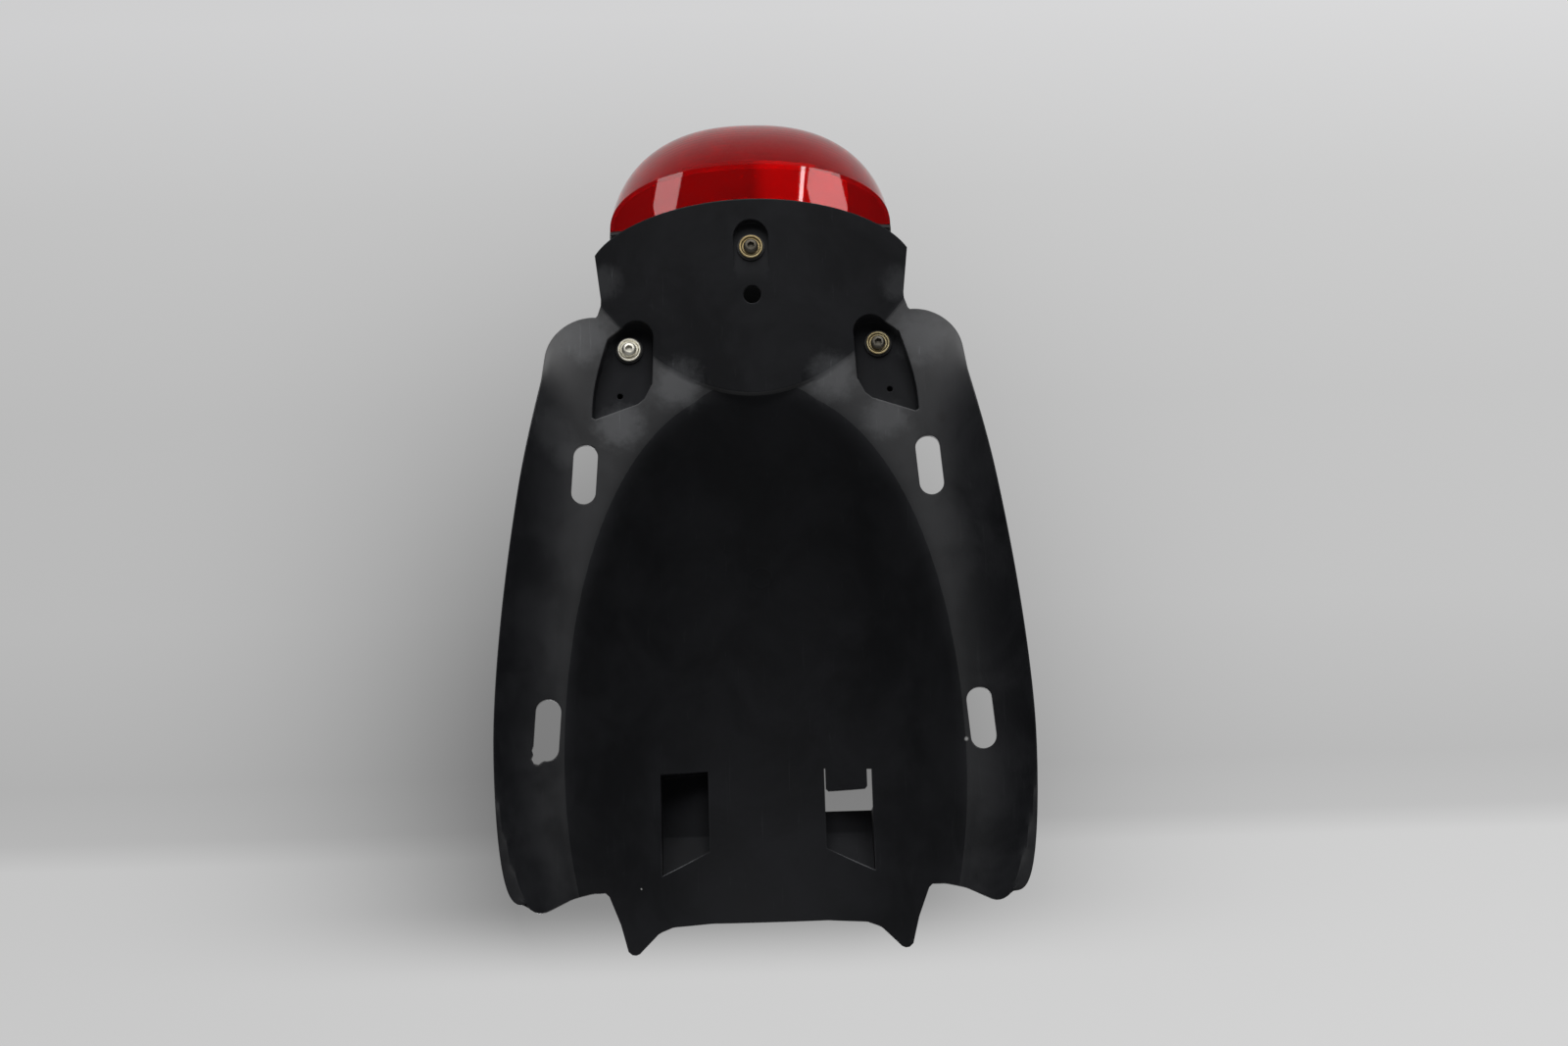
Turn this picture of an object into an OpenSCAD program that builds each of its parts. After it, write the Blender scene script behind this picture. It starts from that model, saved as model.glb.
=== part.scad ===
// Rear fender of a motorcycle: one black moulding with a wheel arch, and the red tail lamp that it carries.
// X is right, Y is forward, Z is up, and the lowest edge lies at zero.
// Distances along the fender are measured from its fold, where the arch meets the bowl under the lamp.

/* [Fender] */
// Width of the fender at its widest
fender_w = 306; // [290:2:316]
// Wall of the moulding
wall = 3; // [2.4:0.2:3.6]
// Height of the flanges over the lowest edge
flange_h = 24; // [18:1:30]
// Reach of the rear lip behind the fold
lip_reach = 111.5; // [108:0.5:116]
// Reach of the widest place in front of the fold
wide_reach = 206; // [180:2:230]
// Reach of the crown's front edge in front of the fold
front_reach = 306; // [296:2:314]
// How far the front points stand out past the crown's edge
point_reach = 18.5; // [12:0.5:22]
// How much the sides draw in from the widest place to the fold
rear_taper = 26; // [20:1:30]
// How much the sides draw in from the widest place to the front
front_taper = 21; // [14:1:26]
// Width of the outer margin that curls down
margin_w = 42; // [34:1:46]

/* [Wheel arch] */
// Radius of the arch's crown seen from the side
arch_r = 340; // [320:5:380]
// Height of the crown over the flanges
arch_h = 80; // [70:1:90]
// Width of a flange beside the arch at its widest
flange_w = 41; // [38:1:48]
// Softness of the roll between arch and flange
roll = 8; // [5:1:12]

/* [Bowl under the lamp] */
// Radius of the bowl seen from behind
bowl_r = 345; // [320:5:380]
// Distance of the lip's corners from the fender's widest line
lip_inset = 60; // [57:1:63]
// How far the lip's corners lie in front of its middle
lip_bow = 26.5; // [20:0.5:32]
// Bore for the lamp's cable
cable_bore = 10.5; // [8:0.5:14]
// Distance from the cable bore to the lamp's rear foot
cable_gap = 27.8; // [22:0.2:34]

/* [Lamp seats in the fender] */
// Distance of the lamp's front feet inwards from the lip's corners
foot_inset = 18.85; // [17.05:0.2:20.85]
// Place of the front feet behind the fold
front_foot_reach = 30; // [26:1:33]
// Distance of the lamp's rear foot inwards from the lip's middle
rear_foot_inset = 27.2; // [24:0.2:31]
// Depth of the side pockets above the flanges
pocket_depth = 9; // [6:0.5:12]
// Bore in the moulding for a foot's grommet
grommet_bore = 12; // [11:0.5:13]
// Radius of the pockets round a foot
seat_r = 11; // [10.5:0.1:12]
// Bore for a cable clip in each pocket
clip_bore = 3.5; // [2.5:0.1:4]
// Depth of a clip's bore
clip_depth = 6.5; // [5:0.5:8]

/* [Windows and hoods] */
// Distance from the middle to a window's inner side
window_in = 35; // [28:1:38]
// Distance from the middle to a window's outer side
window_out = 63; // [58:1:66]
// Place of the windows' rear edge in front of the fold
window_rear = 216; // [208:1:222]
// Length of a window at its inner side
window_l = 47; // [40:1:52]
// How much longer a window is at its outer side
window_slant = 15; // [8:1:18]
// Height of the hoods over the crown
hood_rise = 8; // [5:1:12]
// Length of the tongue in the right window
tongue_l = 13; // [8:1:16]
// Width of the tongue
tongue_w = 22; // [16:0.5:24]

/* [Slots] */
// Width of the four slots
slot_w = 14.3; // [10:0.1:16]
// Length of the four slots
slot_l = 35.5; // [26:0.5:40]
// Distance of the rear slots from the fender's widest line
rear_slot_inset = 51.75; // [49:0.25:55]
// Distance of the front slots from the fender's widest line
front_slot_inset = 28.5; // [26:0.5:31]
// Place of the rear slots in front of the fold
rear_slot_reach = 47; // [42:1:56]
// Place of the front slots in front of the fold
front_slot_reach = 197; // [180:1:210]

/* [Lamp] */
// Distance of the lamp's sides inwards from the lip's corners
lamp_inset = 7; // [5:1:12]
// How far the lamp's tail stands out past the lip
tail_overhang = 72; // [62.5:0.5:78.5]
// Distance of the joint between lens and housing inwards from the lip's middle
joint_inset = 13.5; // [11.5:0.5:17.5]
// Height of the lens's rearmost place
lens_mid = 70; // [64:1:76]
// Height of the top of the lamp
lamp_top = 116; // [108:1:122]
// Length of the lens's flat underside behind the joint
lens_flat = 36.5; // [30:0.5:42]
// Wall of the lens
lens_wall = 2.4; // [2:0.2:3]
// Wall of the housing
housing_wall = 2.5; // [2:0.1:3]
// Reach of the housing's nose behind the fold
nose_reach = 14; // [10:1:17]
// Height of the housing's nose over its flat floor
nose_h = 22; // [18:1:28]

/* [Inside the lamp] */
// Distance between the two bulbs, as a share of half the lamp's width
bulb_share = 0.93; // [0.89:0.01:0.97]
// Height of the bulbs
bulb_z = 62; // [58:1:66]
// Diameter of a bulb's glass
bulb_d = 25; // [22:0.5:26]
// Diameter of a bulb's cap
cap_d = 15; // [14:0.1:16]
// Length of a bulb's cap
cap_l = 24; // [22:1:28]
// Diameter of a reflector dish, as a share of half the lamp's width
dish_share = 0.744; // [0.66:0.004:0.76]
// Depth of a reflector dish
dish_depth = 26; // [22:1:28]
// Thickness of the lens seal
seal_t = 2; // [1:0.5:3]
// Thickness of the reflector's plate
plate_t = 2; // [1.2:0.2:3]

/* [Fixings] */
// Thickness of a grommet above the moulding
grommet_top = 2.5; // [2:0.1:3.5]
// Thickness of a grommet and of a collar's flange
flange_t = 1.5; // [1:0.1:2]
// Diameter of a collar's flange
collar_d = 14.3; // [13:0.1:16]
// Thread size of the lamp screws
screw_d = 5; // [4:0.1:5.4]
// Diameter of a lamp screw's head
head_d = 9; // [8.2:0.1:10]
// Bore of the cable gland
gland_bore = 6; // [4:0.5:7]

/* [Hidden] */
fine = 96;
half_w = fender_w / 2;
arch_w = fender_w - 2 * flange_w;
lip_half = half_w - lip_inset;
lamp_half = lip_half - lamp_inset;
bulb_gap = bulb_share * lamp_half;
dish_d = dish_share * lamp_half;
lip_slope = flange_h / lip_reach;
axle_y = sqrt(arch_r * arch_r - pow(arch_r - arch_h, 2));
arch_square = 2.6;
curl_power = 2.5;
grid_spare = 5;
fold_limit = 110;
floor_z = -20;
through = 60;
slip = 0.3;
rear_foot_reach = lip_reach - rear_foot_inset;
cable_reach = rear_foot_reach - cable_gap;
tail_reach = lip_reach + tail_overhang;
joint_reach = lip_reach - joint_inset;
rear_foot = [0, -rear_foot_reach];
left_foot = [foot_inset - lip_half, -front_foot_reach];
right_foot = [lip_half - foot_inset, -front_foot_reach];
rear_pad_l = 15;
front_seat_z = flange_h + pocket_depth;
rear_seat_z = flange_h - lip_slope * (rear_foot_reach - rear_pad_l);
foot_lift = wall + grommet_top;

// Shape of the underside

function ease(t) = let(c = min(max(t, 0), 1)) c * c * (3 - 2 * c);
function sag(x) = bowl_r - sqrt(bowl_r * bowl_r - x * x);
function fold_y(x) = -sag(min(abs(x), fold_limit)) / lip_slope;
function side_x(y) = half_w - (y < wide_reach
    ? rear_taper * pow((wide_reach - y) / wide_reach, 1.6)
    : front_taper * pow((y - wide_reach) / (front_reach - wide_reach), 1.95));
function crown_h(y) = arch_h - arch_r + sqrt(arch_r * arch_r - pow(y - axle_y, 2));
function arch_x(y) = arch_w / 2 * sqrt(max(crown_h(y), 4) / arch_h);
function arch_rise(x, y) = let(c = crown_h(y)) c - max(c, 4) * pow(abs(x) / arch_x(y), arch_square);
function soft(h) = (h + sqrt(h * h + roll * roll)) / 2;
function curl(x, y) = let(u = max(0, (abs(x) - side_x(y)) / margin_w + 1))
    flange_h * ease((y + 60) / 120) * pow(u, curl_power);
function flange_z(x, y) = flange_h - curl(x, y) + soft(arch_rise(x, y));
function under_z(x, y) = y <= fold_y(x)
    ? flange_h + lip_slope * y + sag(x)
    : min(flange_z(x, y), flange_h + 1.2 * (y - fold_y(x)));

// Grid of the moulding's skin: rows follow the lip, the fold and the front, columns follow the arch

rear_rows = 4;
front_rows = 32;
grid_front = front_reach + point_reach + grid_spare;
function row_y(x, row) = row <= rear_rows
    ? let(rear = -lip_reach - grid_spare) rear + (fold_y(x) - rear) * row / rear_rows
    : fold_y(x) + (grid_front - fold_y(x)) * pow((row - rear_rows) / front_rows, 1.25);
function row_arch(row, x, turns) = turns == 0 ? x
    : row_arch(row, (x + max(30, arch_x(row_y(x, row)))) / 2, turns - 1);
function row_xs(row) = let(
    a = row <= rear_rows ? 30 : row_arch(row, 60, 9),
    e = side_x(row_y(half_w - rear_taper, max(row, rear_rows)))
) concat(
    [for (k = [0:5]) (a - 14) * k / 5],
    [a - 7, a - 2, a + 3, a + 9],
    [for (k = [0.35, 0.65, 0.85, 1]) a + 9 + (e - a - 9) * k],
    [e + grid_spare]);
half_cols = 14;
function mirrored_xs(xs) = [for (k = [-half_cols:half_cols]) sign(k) * xs[abs(k)]];
function tilt(x, y) = let(d = 0.05) [
    (under_z(x - d, y) - under_z(x + d, y)) / (2 * d),
    (under_z(x, y - d) - under_z(x, y + d)) / (2 * d),
    1];
function skin_point(x, y, out) = let(n = tilt(x, y)) [x, y, under_z(x, y)] + out * n / norm(n);

// The space under the skin, or under its outer face when out is the wall
module lump(out) {
    rows = rear_rows + front_rows;
    cols = 2 * half_cols;
    sheet = [for (row = [0:rows]) for (x = mirrored_xs(row_xs(row))) skin_point(x, row_y(x, row), out)];
    w = cols + 1;
    rim = concat(
        [for (c = [0:cols]) c],
        [for (r = [1:rows]) r * w + cols],
        [for (c = [cols - 1:-1:0]) rows * w + c],
        [for (r = [rows - 1:-1:1]) r * w]);
    n = len(rim);
    base = len(sheet);
    foot = [for (i = rim) [sheet[i].x, sheet[i].y, floor_z]];
    top_faces = [for (r = [0:rows - 1]) for (c = [0:cols - 1])
        let(a = r * w + c)
        each c < half_cols
            ? [[a, a + w, a + w + 1], [a, a + w + 1, a + 1]]
            : [[a, a + w, a + 1], [a + 1, a + w, a + w + 1]]];
    side_faces = [for (i = [0:n - 1])
        let(j = (i + 1) % n)
        each [[rim[i], rim[j], base + j], [rim[i], base + j, base + i]]];
    polyhedron(concat(sheet, foot), concat(top_faces, side_faces, [[for (i = [0:n - 1]) base + i]]), convexity = 8);
}

// Moves the whole object so that its box is centred
module placed() {
    translate([0, (tail_reach - front_reach - point_reach) / 2, 0]) children();
}

// Outline seen from above

function arc(centre, r, from, to, steps) =
    [for (k = [0:steps]) let(t = from + (to - from) * k / steps) centre + r * [cos(t), sin(t)]];
lip_a = lip_half + 4;
lip_b = lip_bow / (1 - sqrt(1 - pow(lip_half / lip_a, 2)));
function lip_point(x) = [x, -lip_reach + lip_b * (1 - sqrt(1 - pow(x / lip_a, 2)))];
neck_half = lip_half - 3;
shoulder_r = 28.5;
shoulder = [side_x(-10) - shoulder_r - 1.3, -20];
corner_r = 7.5;
corner = [side_x(front_reach - 12) - corner_r - 1, front_reach - 12];
notch = [arch_x(front_reach) - 11, front_reach - 17];
point_lean = 14.5;
point_w = 36;
point_tip = [notch.x - point_lean, front_reach + point_reach];
crown_half = notch.x - point_w;
outline = concat(
    [for (k = [0:8]) lip_point(lip_half * sin(k * 90 / 8))],
    [[neck_half, fold_y(neck_half) - 3], [neck_half + 0.6, fold_y(neck_half) + 2]],
    arc(shoulder, shoulder_r, -95, -8, 9),
    [for (k = [0:20]) let(y = -8 + (corner.y + 8) * k / 20) [side_x(y), y]],
    arc(corner, corner_r, 25, 120, 5),
    [[notch.x + 19, notch.y + 4.5], [notch.x + 8, notch.y + 0.8], notch],
    [[point_tip.x + 7, point_tip.y - 16]],
    arc(point_tip - [0, 4], 4, 10, 150, 7),
    [[crown_half + 8, front_reach + 5.5], [crown_half, front_reach + 2], [crown_half * 0.6, front_reach]],
    [[0, front_reach]]);

module plan() {
    polygon(outline);
    mirror([1, 0]) polygon(outline);
}

slot_turn = 4.3;

module slot(x, y) {
    translate([x, y]) rotate(x > 0 ? -slot_turn : slot_turn) translate([0, 0, floor_z - 1]) linear_extrude(140) {
        translate([-slot_w / 2, (slot_w - slot_l) / 2]) square([slot_w, slot_l - slot_w]);
        for (end = [-1, 1]) translate([0, end * (slot_l - slot_w) / 2]) circle(d = slot_w, $fn = fine);
    }
}

// Pockets and pads that seat the lamp, grown by a wall for the blocks round them

function pocket_shape(grow) = concat(
    arc([-4, -4], seat_r + grow, -176, -50, 10),
    [for (k = [0:6]) [seat_r + 1.5 + 9.7 * sin(15 * k) + grow, 8 * k - 5 + (k - 3) / 6 * grow]],
    [[20.5 + 0.8 * grow, 44.2 + grow], [-5 - 0.5 * grow, 35.4 + grow]],
    [[-9 - 0.9 * grow, 32 + 0.7 * grow], [-13.7 - grow, 23]]);
function pad_shape(grow) = concat(
    arc([0, -5], seat_r - 0.5 + grow, -180, 0, 12),
    [[seat_r - 0.5 + grow, rear_pad_l], [-seat_r + 0.5 - grow, rear_pad_l]]);

module front_seats(grow, top) {
    for (side = [0, 1]) mirror([side, 0, 0])
        translate([right_foot.x, right_foot.y, 1]) linear_extrude(top - 1) polygon(pocket_shape(grow));
}

clip_out = 6;
clip_ahead = 28;
clip_boss_d = 8;
clip_cap = 1.5;

// A closed boss over each pocket or the bore in it, for a clip
module clip_posts(from, to, d) {
    for (side = [-1, 1])
        translate([side * (right_foot.x + clip_out), right_foot.y + clip_ahead, from])
            cylinder(d = d, h = to - from, $fn = fine / 2);
}

module rear_seat(grow, top) {
    translate([rear_foot.x, rear_foot.y, floor_z]) linear_extrude(top - floor_z) polygon(pad_shape(grow));
}

// Hoods over the two windows: the left one is closed, the right one is open behind and shelters a tongue

hood_z = flange_h + arch_h + wall + hood_rise;
hood_bend = window_rear + 37;
hood_end = window_rear + window_l + window_slant;
hood_drop = 17;
window_shape = [
    [window_in, window_rear - 1],
    [window_out, window_rear + 1.5],
    [window_out, hood_end],
    [window_in, window_rear + window_l]];

module hood_profile(rear, grow) {
    rotate([90, 0, 90]) linear_extrude(window_out + wall) polygon([
        [rear - grow, floor_z],
        [rear - grow, hood_z - wall + grow],
        [hood_bend + 0.3 * grow, hood_z - wall + grow],
        [hood_end + grow, hood_z - wall + 0.9 * grow - hood_drop],
        [hood_end + grow, floor_z]]);
}

module hood(rear) intersection() {
    hood_profile(rear, wall);
    translate([window_in - wall, 0, flange_h]) linear_extrude(hood_z)
        square([window_out - window_in + 2 * wall, hood_end + wall]);
}

module window(tongue) intersection() {
    hood_profile(window_rear - 2, 0);
    translate([0, 0, floor_z]) linear_extrude(160) difference() {
        polygon(window_shape);
        if (tongue) translate([window_in + 1.5, window_rear - 9]) square([tongue_w, tongue_l + 9]);
    }
}

// The moulding before its round holes are cut, brought to its stated width
module moulding() resize([fender_w, 0, 0]) difference() {
    union() {
        intersection() {
            lump(wall);
            linear_extrude(160) plan();
        }
        front_seats(wall, front_seat_z + wall);
        rear_seat(wall, rear_seat_z + wall);
        clip_posts(front_seat_z + 1, front_seat_z + clip_depth + clip_cap, clip_boss_d);
        mirror([1, 0, 0]) hood(window_rear);
        hood(hood_bend - 10 + wall);
    }
    lump(0);
    front_seats(0, front_seat_z);
    rear_seat(0, rear_seat_z);
    mirror([1, 0, 0]) window(false);
    window(true);
}

module fender() color("#26282b") placed() difference() {
    moulding();
    for (side = [-1, 1]) slot(side * (half_w - rear_slot_inset), rear_slot_reach);
    for (side = [-1, 1]) slot(side * (half_w - front_slot_inset), front_slot_reach);
    for (foot = [rear_foot, left_foot, right_foot])
        translate([foot.x, foot.y, 0]) cylinder(d = grommet_bore, h = through, $fn = fine);
    clip_posts(0, front_seat_z + clip_depth, clip_bore);
    translate([0, -cable_reach, 0]) cylinder(d = cable_bore, h = through, $fn = fine);
}

// Lamp: lens and housing share one section, whose underside follows the bowl

housing_end = -joint_reach;
plate_end = housing_end - plate_t;
lens_front = plate_end - seal_t;
lens_l = tail_reach + lens_front;
lamp_low = rear_seat_z + foot_lift;
levels = concat([1, 0.8, 0.6, 0.4, 0.2, 0], [-0.25, -0.45, -0.62, -0.77, -0.88, -0.96]);
function level_z(r, g) = lens_mid - (r > 0 ? r * (lens_mid - lamp_low - g) : r * (lamp_top - lens_mid - g));
function level_half(r, g) = (r > 0 ? lamp_half - 2 * r * r : lamp_half * pow(1 - pow(-r, 3.4), 1 / 3.4)) - g;
function level_l(r, g) = (r > 0
    ? lens_flat + (lens_l - lens_flat) * (1 - pow(r, 1.7))
    : lens_l * pow(1 - pow(-r, 2.6), 1 / 2.6)) - g;
function level_lift(x, r) = r > 0 ? r * sag(x) : 0;
lens_steps = 20;
lens_round = 2 / 2.35;
function level_ring(r, g, front) = let(
    a = level_half(r, g),
    l = level_l(r, g),
    z = level_z(r, g),
    xs = [for (k = [0:lens_steps]) let(t = 180 * k / lens_steps) a * sign(cos(t)) * pow(abs(cos(t)), lens_round)]
) concat(
    [for (k = [0:lens_steps])
        [xs[k], lens_front - l * pow(abs(sin(180 * k / lens_steps)), lens_round), z + level_lift(xs[k], r)]],
    [for (k = [lens_steps - 1:-1:1]) [xs[k], lens_front + front, z + level_lift(xs[k], r)]]);

// A solid of the lens's form, smaller by g all round and longer at the joint by front
module lens_form(g, front) {
    n = 2 * lens_steps;
    top = len(levels) - 1;
    rings = [for (r = levels) each level_ring(r, g, front)];
    walls = [for (j = [0:top - 1]) for (i = [0:n - 1])
        let(a = j * n + i, b = j * n + (i + 1) % n)
        each [[a, b, b + n], [a, b + n, a + n]]];
    caps = [for (i = [0:lens_steps - 1])
        let(p = i, q = i + 1, u = (n - i) % n, v = n - i - 1)
        each i == 0 ? [[p, v, q]] : i == lens_steps - 1 ? [[p, u, q]] : [[p, u, v], [p, v, q]]];
    lid = [for (f = caps) [f[2] + top * n, f[1] + top * n, f[0] + top * n]];
    polyhedron(rings, concat(walls, caps, lid), convexity = 6);
}

boss_d = 13;
boss_l = 34;
recess_d = 9;
recess_l = 11;
lens_screw_d = 4;
lens_head = -tail_reach + recess_l;
post_end = -tail_reach + boss_l;

module along_y(from, to, d) {
    translate([0, from, lens_mid]) rotate([-90, 0, 0]) cylinder(d = d, h = to - from, $fn = fine);
}

module lamp_lens() color("#b0141c") placed() difference() {
    union() {
        resize([2 * lamp_half, 0, 0]) difference() {
            lens_form(0, 0);
            lens_form(lens_wall, 1);
        }
        along_y(-tail_reach + 1.5, post_end, boss_d);
    }
    along_y(-tail_reach - 5, lens_head, recess_d);
    along_y(-tail_reach, post_end + 1, lens_screw_d + 2 * slip);
}

module lens_screw() color("#b9b9b4") placed() {
    along_y(lens_head - 3, lens_head, recess_d - 1.5);
    along_y(lens_head, post_end + 14, lens_screw_d);
}

function rim_shape(g) = concat(
    [for (k = [-8:8]) let(x = (level_half(1, g)) * k / 8) [x, lamp_low + g + sag(x)]],
    [for (i = [1:len(levels) - 1]) let(r = levels[i], x = level_half(r, g)) [x, level_z(r, g) + level_lift(x, r)]],
    [for (i = [len(levels) - 1:-1:1]) let(r = levels[i], x = -level_half(r, g)) [x, level_z(r, g) + level_lift(x, r)]]);

module rim_slab(g, from, to) {
    translate([0, to, 0]) rotate([90, 0, 0]) linear_extrude(to - from) polygon(rim_shape(g));
}

// Housing: the lamp's section, cut to a wedge seen from the side and rounded seen from above

floor_start = -front_foot_reach - seat_r - wall - 11;
ramp_start = -rear_foot_reach + 10;
housing_floor = front_seat_z + foot_lift;
nose_round = 26;

module housing_form(g) intersection() {
    rim_slab(g, housing_end - (g > 0 ? 1 : 0), -nose_reach);
    rotate([90, 0, 90]) linear_extrude(400, center = true) polygon([
        [housing_end - 2, 0],
        [ramp_start + 0.6 * g, lamp_low - 3],
        [ramp_start + 0.6 * g, lamp_low + g],
        [floor_start + 0.6 * g, housing_floor + g],
        [-nose_reach - g, housing_floor + g],
        [-nose_reach - g, housing_floor + nose_h - g],
        [housing_end + 14, lamp_top - 0.8 * g],
        [housing_end - 2, lamp_top + 5]]);
    linear_extrude(200) polygon(concat(
        arc([lamp_half - nose_round, -nose_reach - nose_round], nose_round - g, 0, 90, 8),
        arc([nose_round - lamp_half, -nose_reach - nose_round], nose_round - g, 90, 180, 8),
        [[g - lamp_half, -200], [lamp_half - g, -200]]));
}

insert_d = 8;
insert_l = 9;
foot_d = 15;
web_t = 3;

module foot_holes(d, l) {
    translate([rear_foot.x, rear_foot.y, lamp_low]) cylinder(d = d, h = l, $fn = fine);
    for (foot = [left_foot, right_foot])
        translate([foot.x, foot.y, housing_floor]) cylinder(d = d, h = l, $fn = fine);
}

gland_y = -front_foot_reach - 8;
gland_d = 11;

module lamp_housing() color("#1b1c1e") placed() difference() {
    union() {
        difference() {
            housing_form(0);
            housing_form(housing_wall);
        }
        foot_holes(foot_d, insert_l + 3);
        intersection() {
            housing_form(1);
            translate([-web_t / 2, housing_end, 0]) cube([web_t, gland_y - gland_d - housing_end, 200]);
        }
        along_y(post_end + slip, housing_end + 20, boss_d - 2);
    }
    translate([0, 0, -1]) foot_holes(insert_d, insert_l + 1);
    along_y(post_end, post_end + 18, lens_screw_d);
    translate([0, gland_y, housing_floor - 1]) cylinder(d = gland_d, h = 10, $fn = fine);
}

module cable_gland() color("#141414") placed() translate([0, gland_y, housing_floor]) difference() {
    union() {
        translate([0, 0, -3]) cylinder(d = gland_d + 4, h = 3, $fn = fine);
        cylinder(d = gland_d - slip, h = housing_wall, $fn = fine);
        translate([0, 0, housing_wall]) cylinder(d = gland_d + 3, h = 2, $fn = fine);
    }
    translate([0, 0, -4]) cylinder(d = gland_bore, h = 12, $fn = fine);
}

module lens_seal() color("#202020") placed() difference() {
    rim_slab(0.4, lens_front, plate_end);
    rim_slab(3.5, lens_front - 1, plate_end + 1);
}

// Turns a revolved profile so that its axis runs rearwards through a bulb's centre line
module bulb_axis(side, y) {
    translate([side * bulb_gap / 2, y, bulb_z]) rotate([90, 0, 0]) children();
}

dish_t = 1.6;
neck_hole = cap_d + 2;
neck_y = plate_end + dish_depth;
neck_l = 4;
function dish_y(r, d) = r * r / (d * d / 4) * dish_depth;

module dish() rotate_extrude($fn = fine) polygon(concat(
    [for (k = [0:8]) let(r = neck_hole / 2 + (dish_d / 2 - neck_hole / 2) * k / 8) [r, dish_y(r, dish_d)]],
    [for (k = [8:-1:0]) let(r = neck_hole / 2 + (dish_d / 2 - neck_hole / 2) * k / 8)
        [r + dish_t * k / 8, dish_y(r, dish_d) - dish_t + dish_t * k / 8 * 0.6]]));

module lamp_reflector() color("#d8d8d8") placed() {
    difference() {
        rim_slab(0.4, plate_end, housing_end);
        for (side = [-1, 1]) bulb_axis(side, 0) cylinder(d = dish_d - 0.2, h = 200, $fn = fine);
        along_y(post_end, 0, boss_d - 2 + 2 * slip);
    }
    for (side = [-1, 1]) bulb_axis(side, neck_y) {
        dish();
        translate([0, 0, -neck_l]) difference() {
            cylinder(d = neck_hole + 6, h = neck_l + dish_y(neck_hole / 2 + 1, dish_d), $fn = fine);
            translate([0, 0, -1]) cylinder(d = neck_hole, h = neck_l + dish_depth, $fn = fine);
        }
    }
}

socket_y = neck_y + neck_l;
socket_l = 20;
contact_t = 1;
contact_z = 4 - socket_l;
glass_z = contact_z + contact_t + cap_l;

module bulb_socket(side) color("#303030") placed() bulb_axis(side, socket_y) difference() {
    translate([0, 0, -socket_l]) cylinder(d = neck_hole + 6, h = socket_l, $fn = fine);
    translate([0, 0, contact_z]) cylinder(d = cap_d + 2 * slip, h = socket_l, $fn = fine);
}

module socket_contact(side) color("#c9a24a") placed() bulb_axis(side, socket_y)
    translate([0, 0, contact_z]) cylinder(d = cap_d - 4, h = contact_t, $fn = fine);

module bulb_cap(side) color("#c8b070") placed() bulb_axis(side, socket_y)
    translate([0, 0, contact_z + contact_t]) cylinder(d = cap_d, h = cap_l, $fn = fine);

glass_neck = cap_d / 2 - 0.6;
glass_t = 0.9;
glass_mid = 20;

module bulb_glass(side) color("#f0e8d8") placed() bulb_axis(side, socket_y)
    translate([0, 0, glass_z]) rotate_extrude($fn = fine) polygon(concat(
        [[glass_neck - glass_t, 0], [glass_neck, 0]],
        arc([0, glass_mid], bulb_d / 2, -52, 90, 12),
        arc([0, glass_mid], bulb_d / 2 - glass_t, 90, -52, 12)));

module bulb_filament(side) color("#9a9a9a") placed() bulb_axis(side, socket_y) translate([0, 0, glass_z]) {
    for (x = [-4, 4]) translate([x, 0, 0]) cylinder(d = 0.8, h = glass_mid, $fn = fine);
    translate([-5, 0, glass_mid]) rotate([0, 90, 0]) cylinder(d = 1.6, h = 10, $fn = fine);
}

// Fixings at the lamp's three feet, from below: screw, collar, grommet, moulding, foot with its insert

barrel_d = 8.4;
head_h = 3.2;
hex_w = 4;

module at_foot(foot, seat_z) {
    translate([foot.x, foot.y, seat_z]) children();
}

module grommet(foot, seat_z) color("#161616") placed() at_foot(foot, seat_z) difference() {
    union() {
        translate([0, 0, -flange_t]) cylinder(d = collar_d + 2, h = flange_t, $fn = fine);
        cylinder(d = grommet_bore - slip, h = wall, $fn = fine);
        translate([0, 0, wall]) cylinder(d = grommet_bore + 5, h = grommet_top, $fn = fine);
    }
    translate([0, 0, -flange_t - 1]) cylinder(d = barrel_d + slip, h = foot_lift + flange_t + 2, $fn = fine);
}

module collar(foot, seat_z) color("#b8a45c") placed() at_foot(foot, seat_z) difference() {
    union() {
        translate([0, 0, -2 * flange_t]) cylinder(d = collar_d, h = flange_t, $fn = fine);
        translate([0, 0, -flange_t]) cylinder(d = barrel_d, h = flange_t + foot_lift, $fn = fine);
    }
    translate([0, 0, -2 * flange_t - 1]) cylinder(d = screw_d + 2 * slip, h = foot_lift + 3 * flange_t, $fn = fine);
}

module lamp_screw(foot, seat_z) color("#8c8c86") placed() at_foot(foot, seat_z - 2 * flange_t) difference() {
    union() {
        translate([0, 0, -head_h]) cylinder(d = head_d, h = head_h, $fn = fine);
        cylinder(d = screw_d, h = 2 * flange_t + foot_lift + insert_l - 1, $fn = fine);
    }
    translate([0, 0, -head_h - 1]) cylinder(d = hex_w, h = 3, $fn = 6);
}

module foot_insert(foot, seat_z) color("#c2a050") placed() at_foot(foot, seat_z + foot_lift) difference() {
    cylinder(d = insert_d - slip, h = insert_l - slip, $fn = fine);
    translate([0, 0, -1]) cylinder(d = screw_d + slip, h = insert_l + 2, $fn = fine);
}

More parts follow.
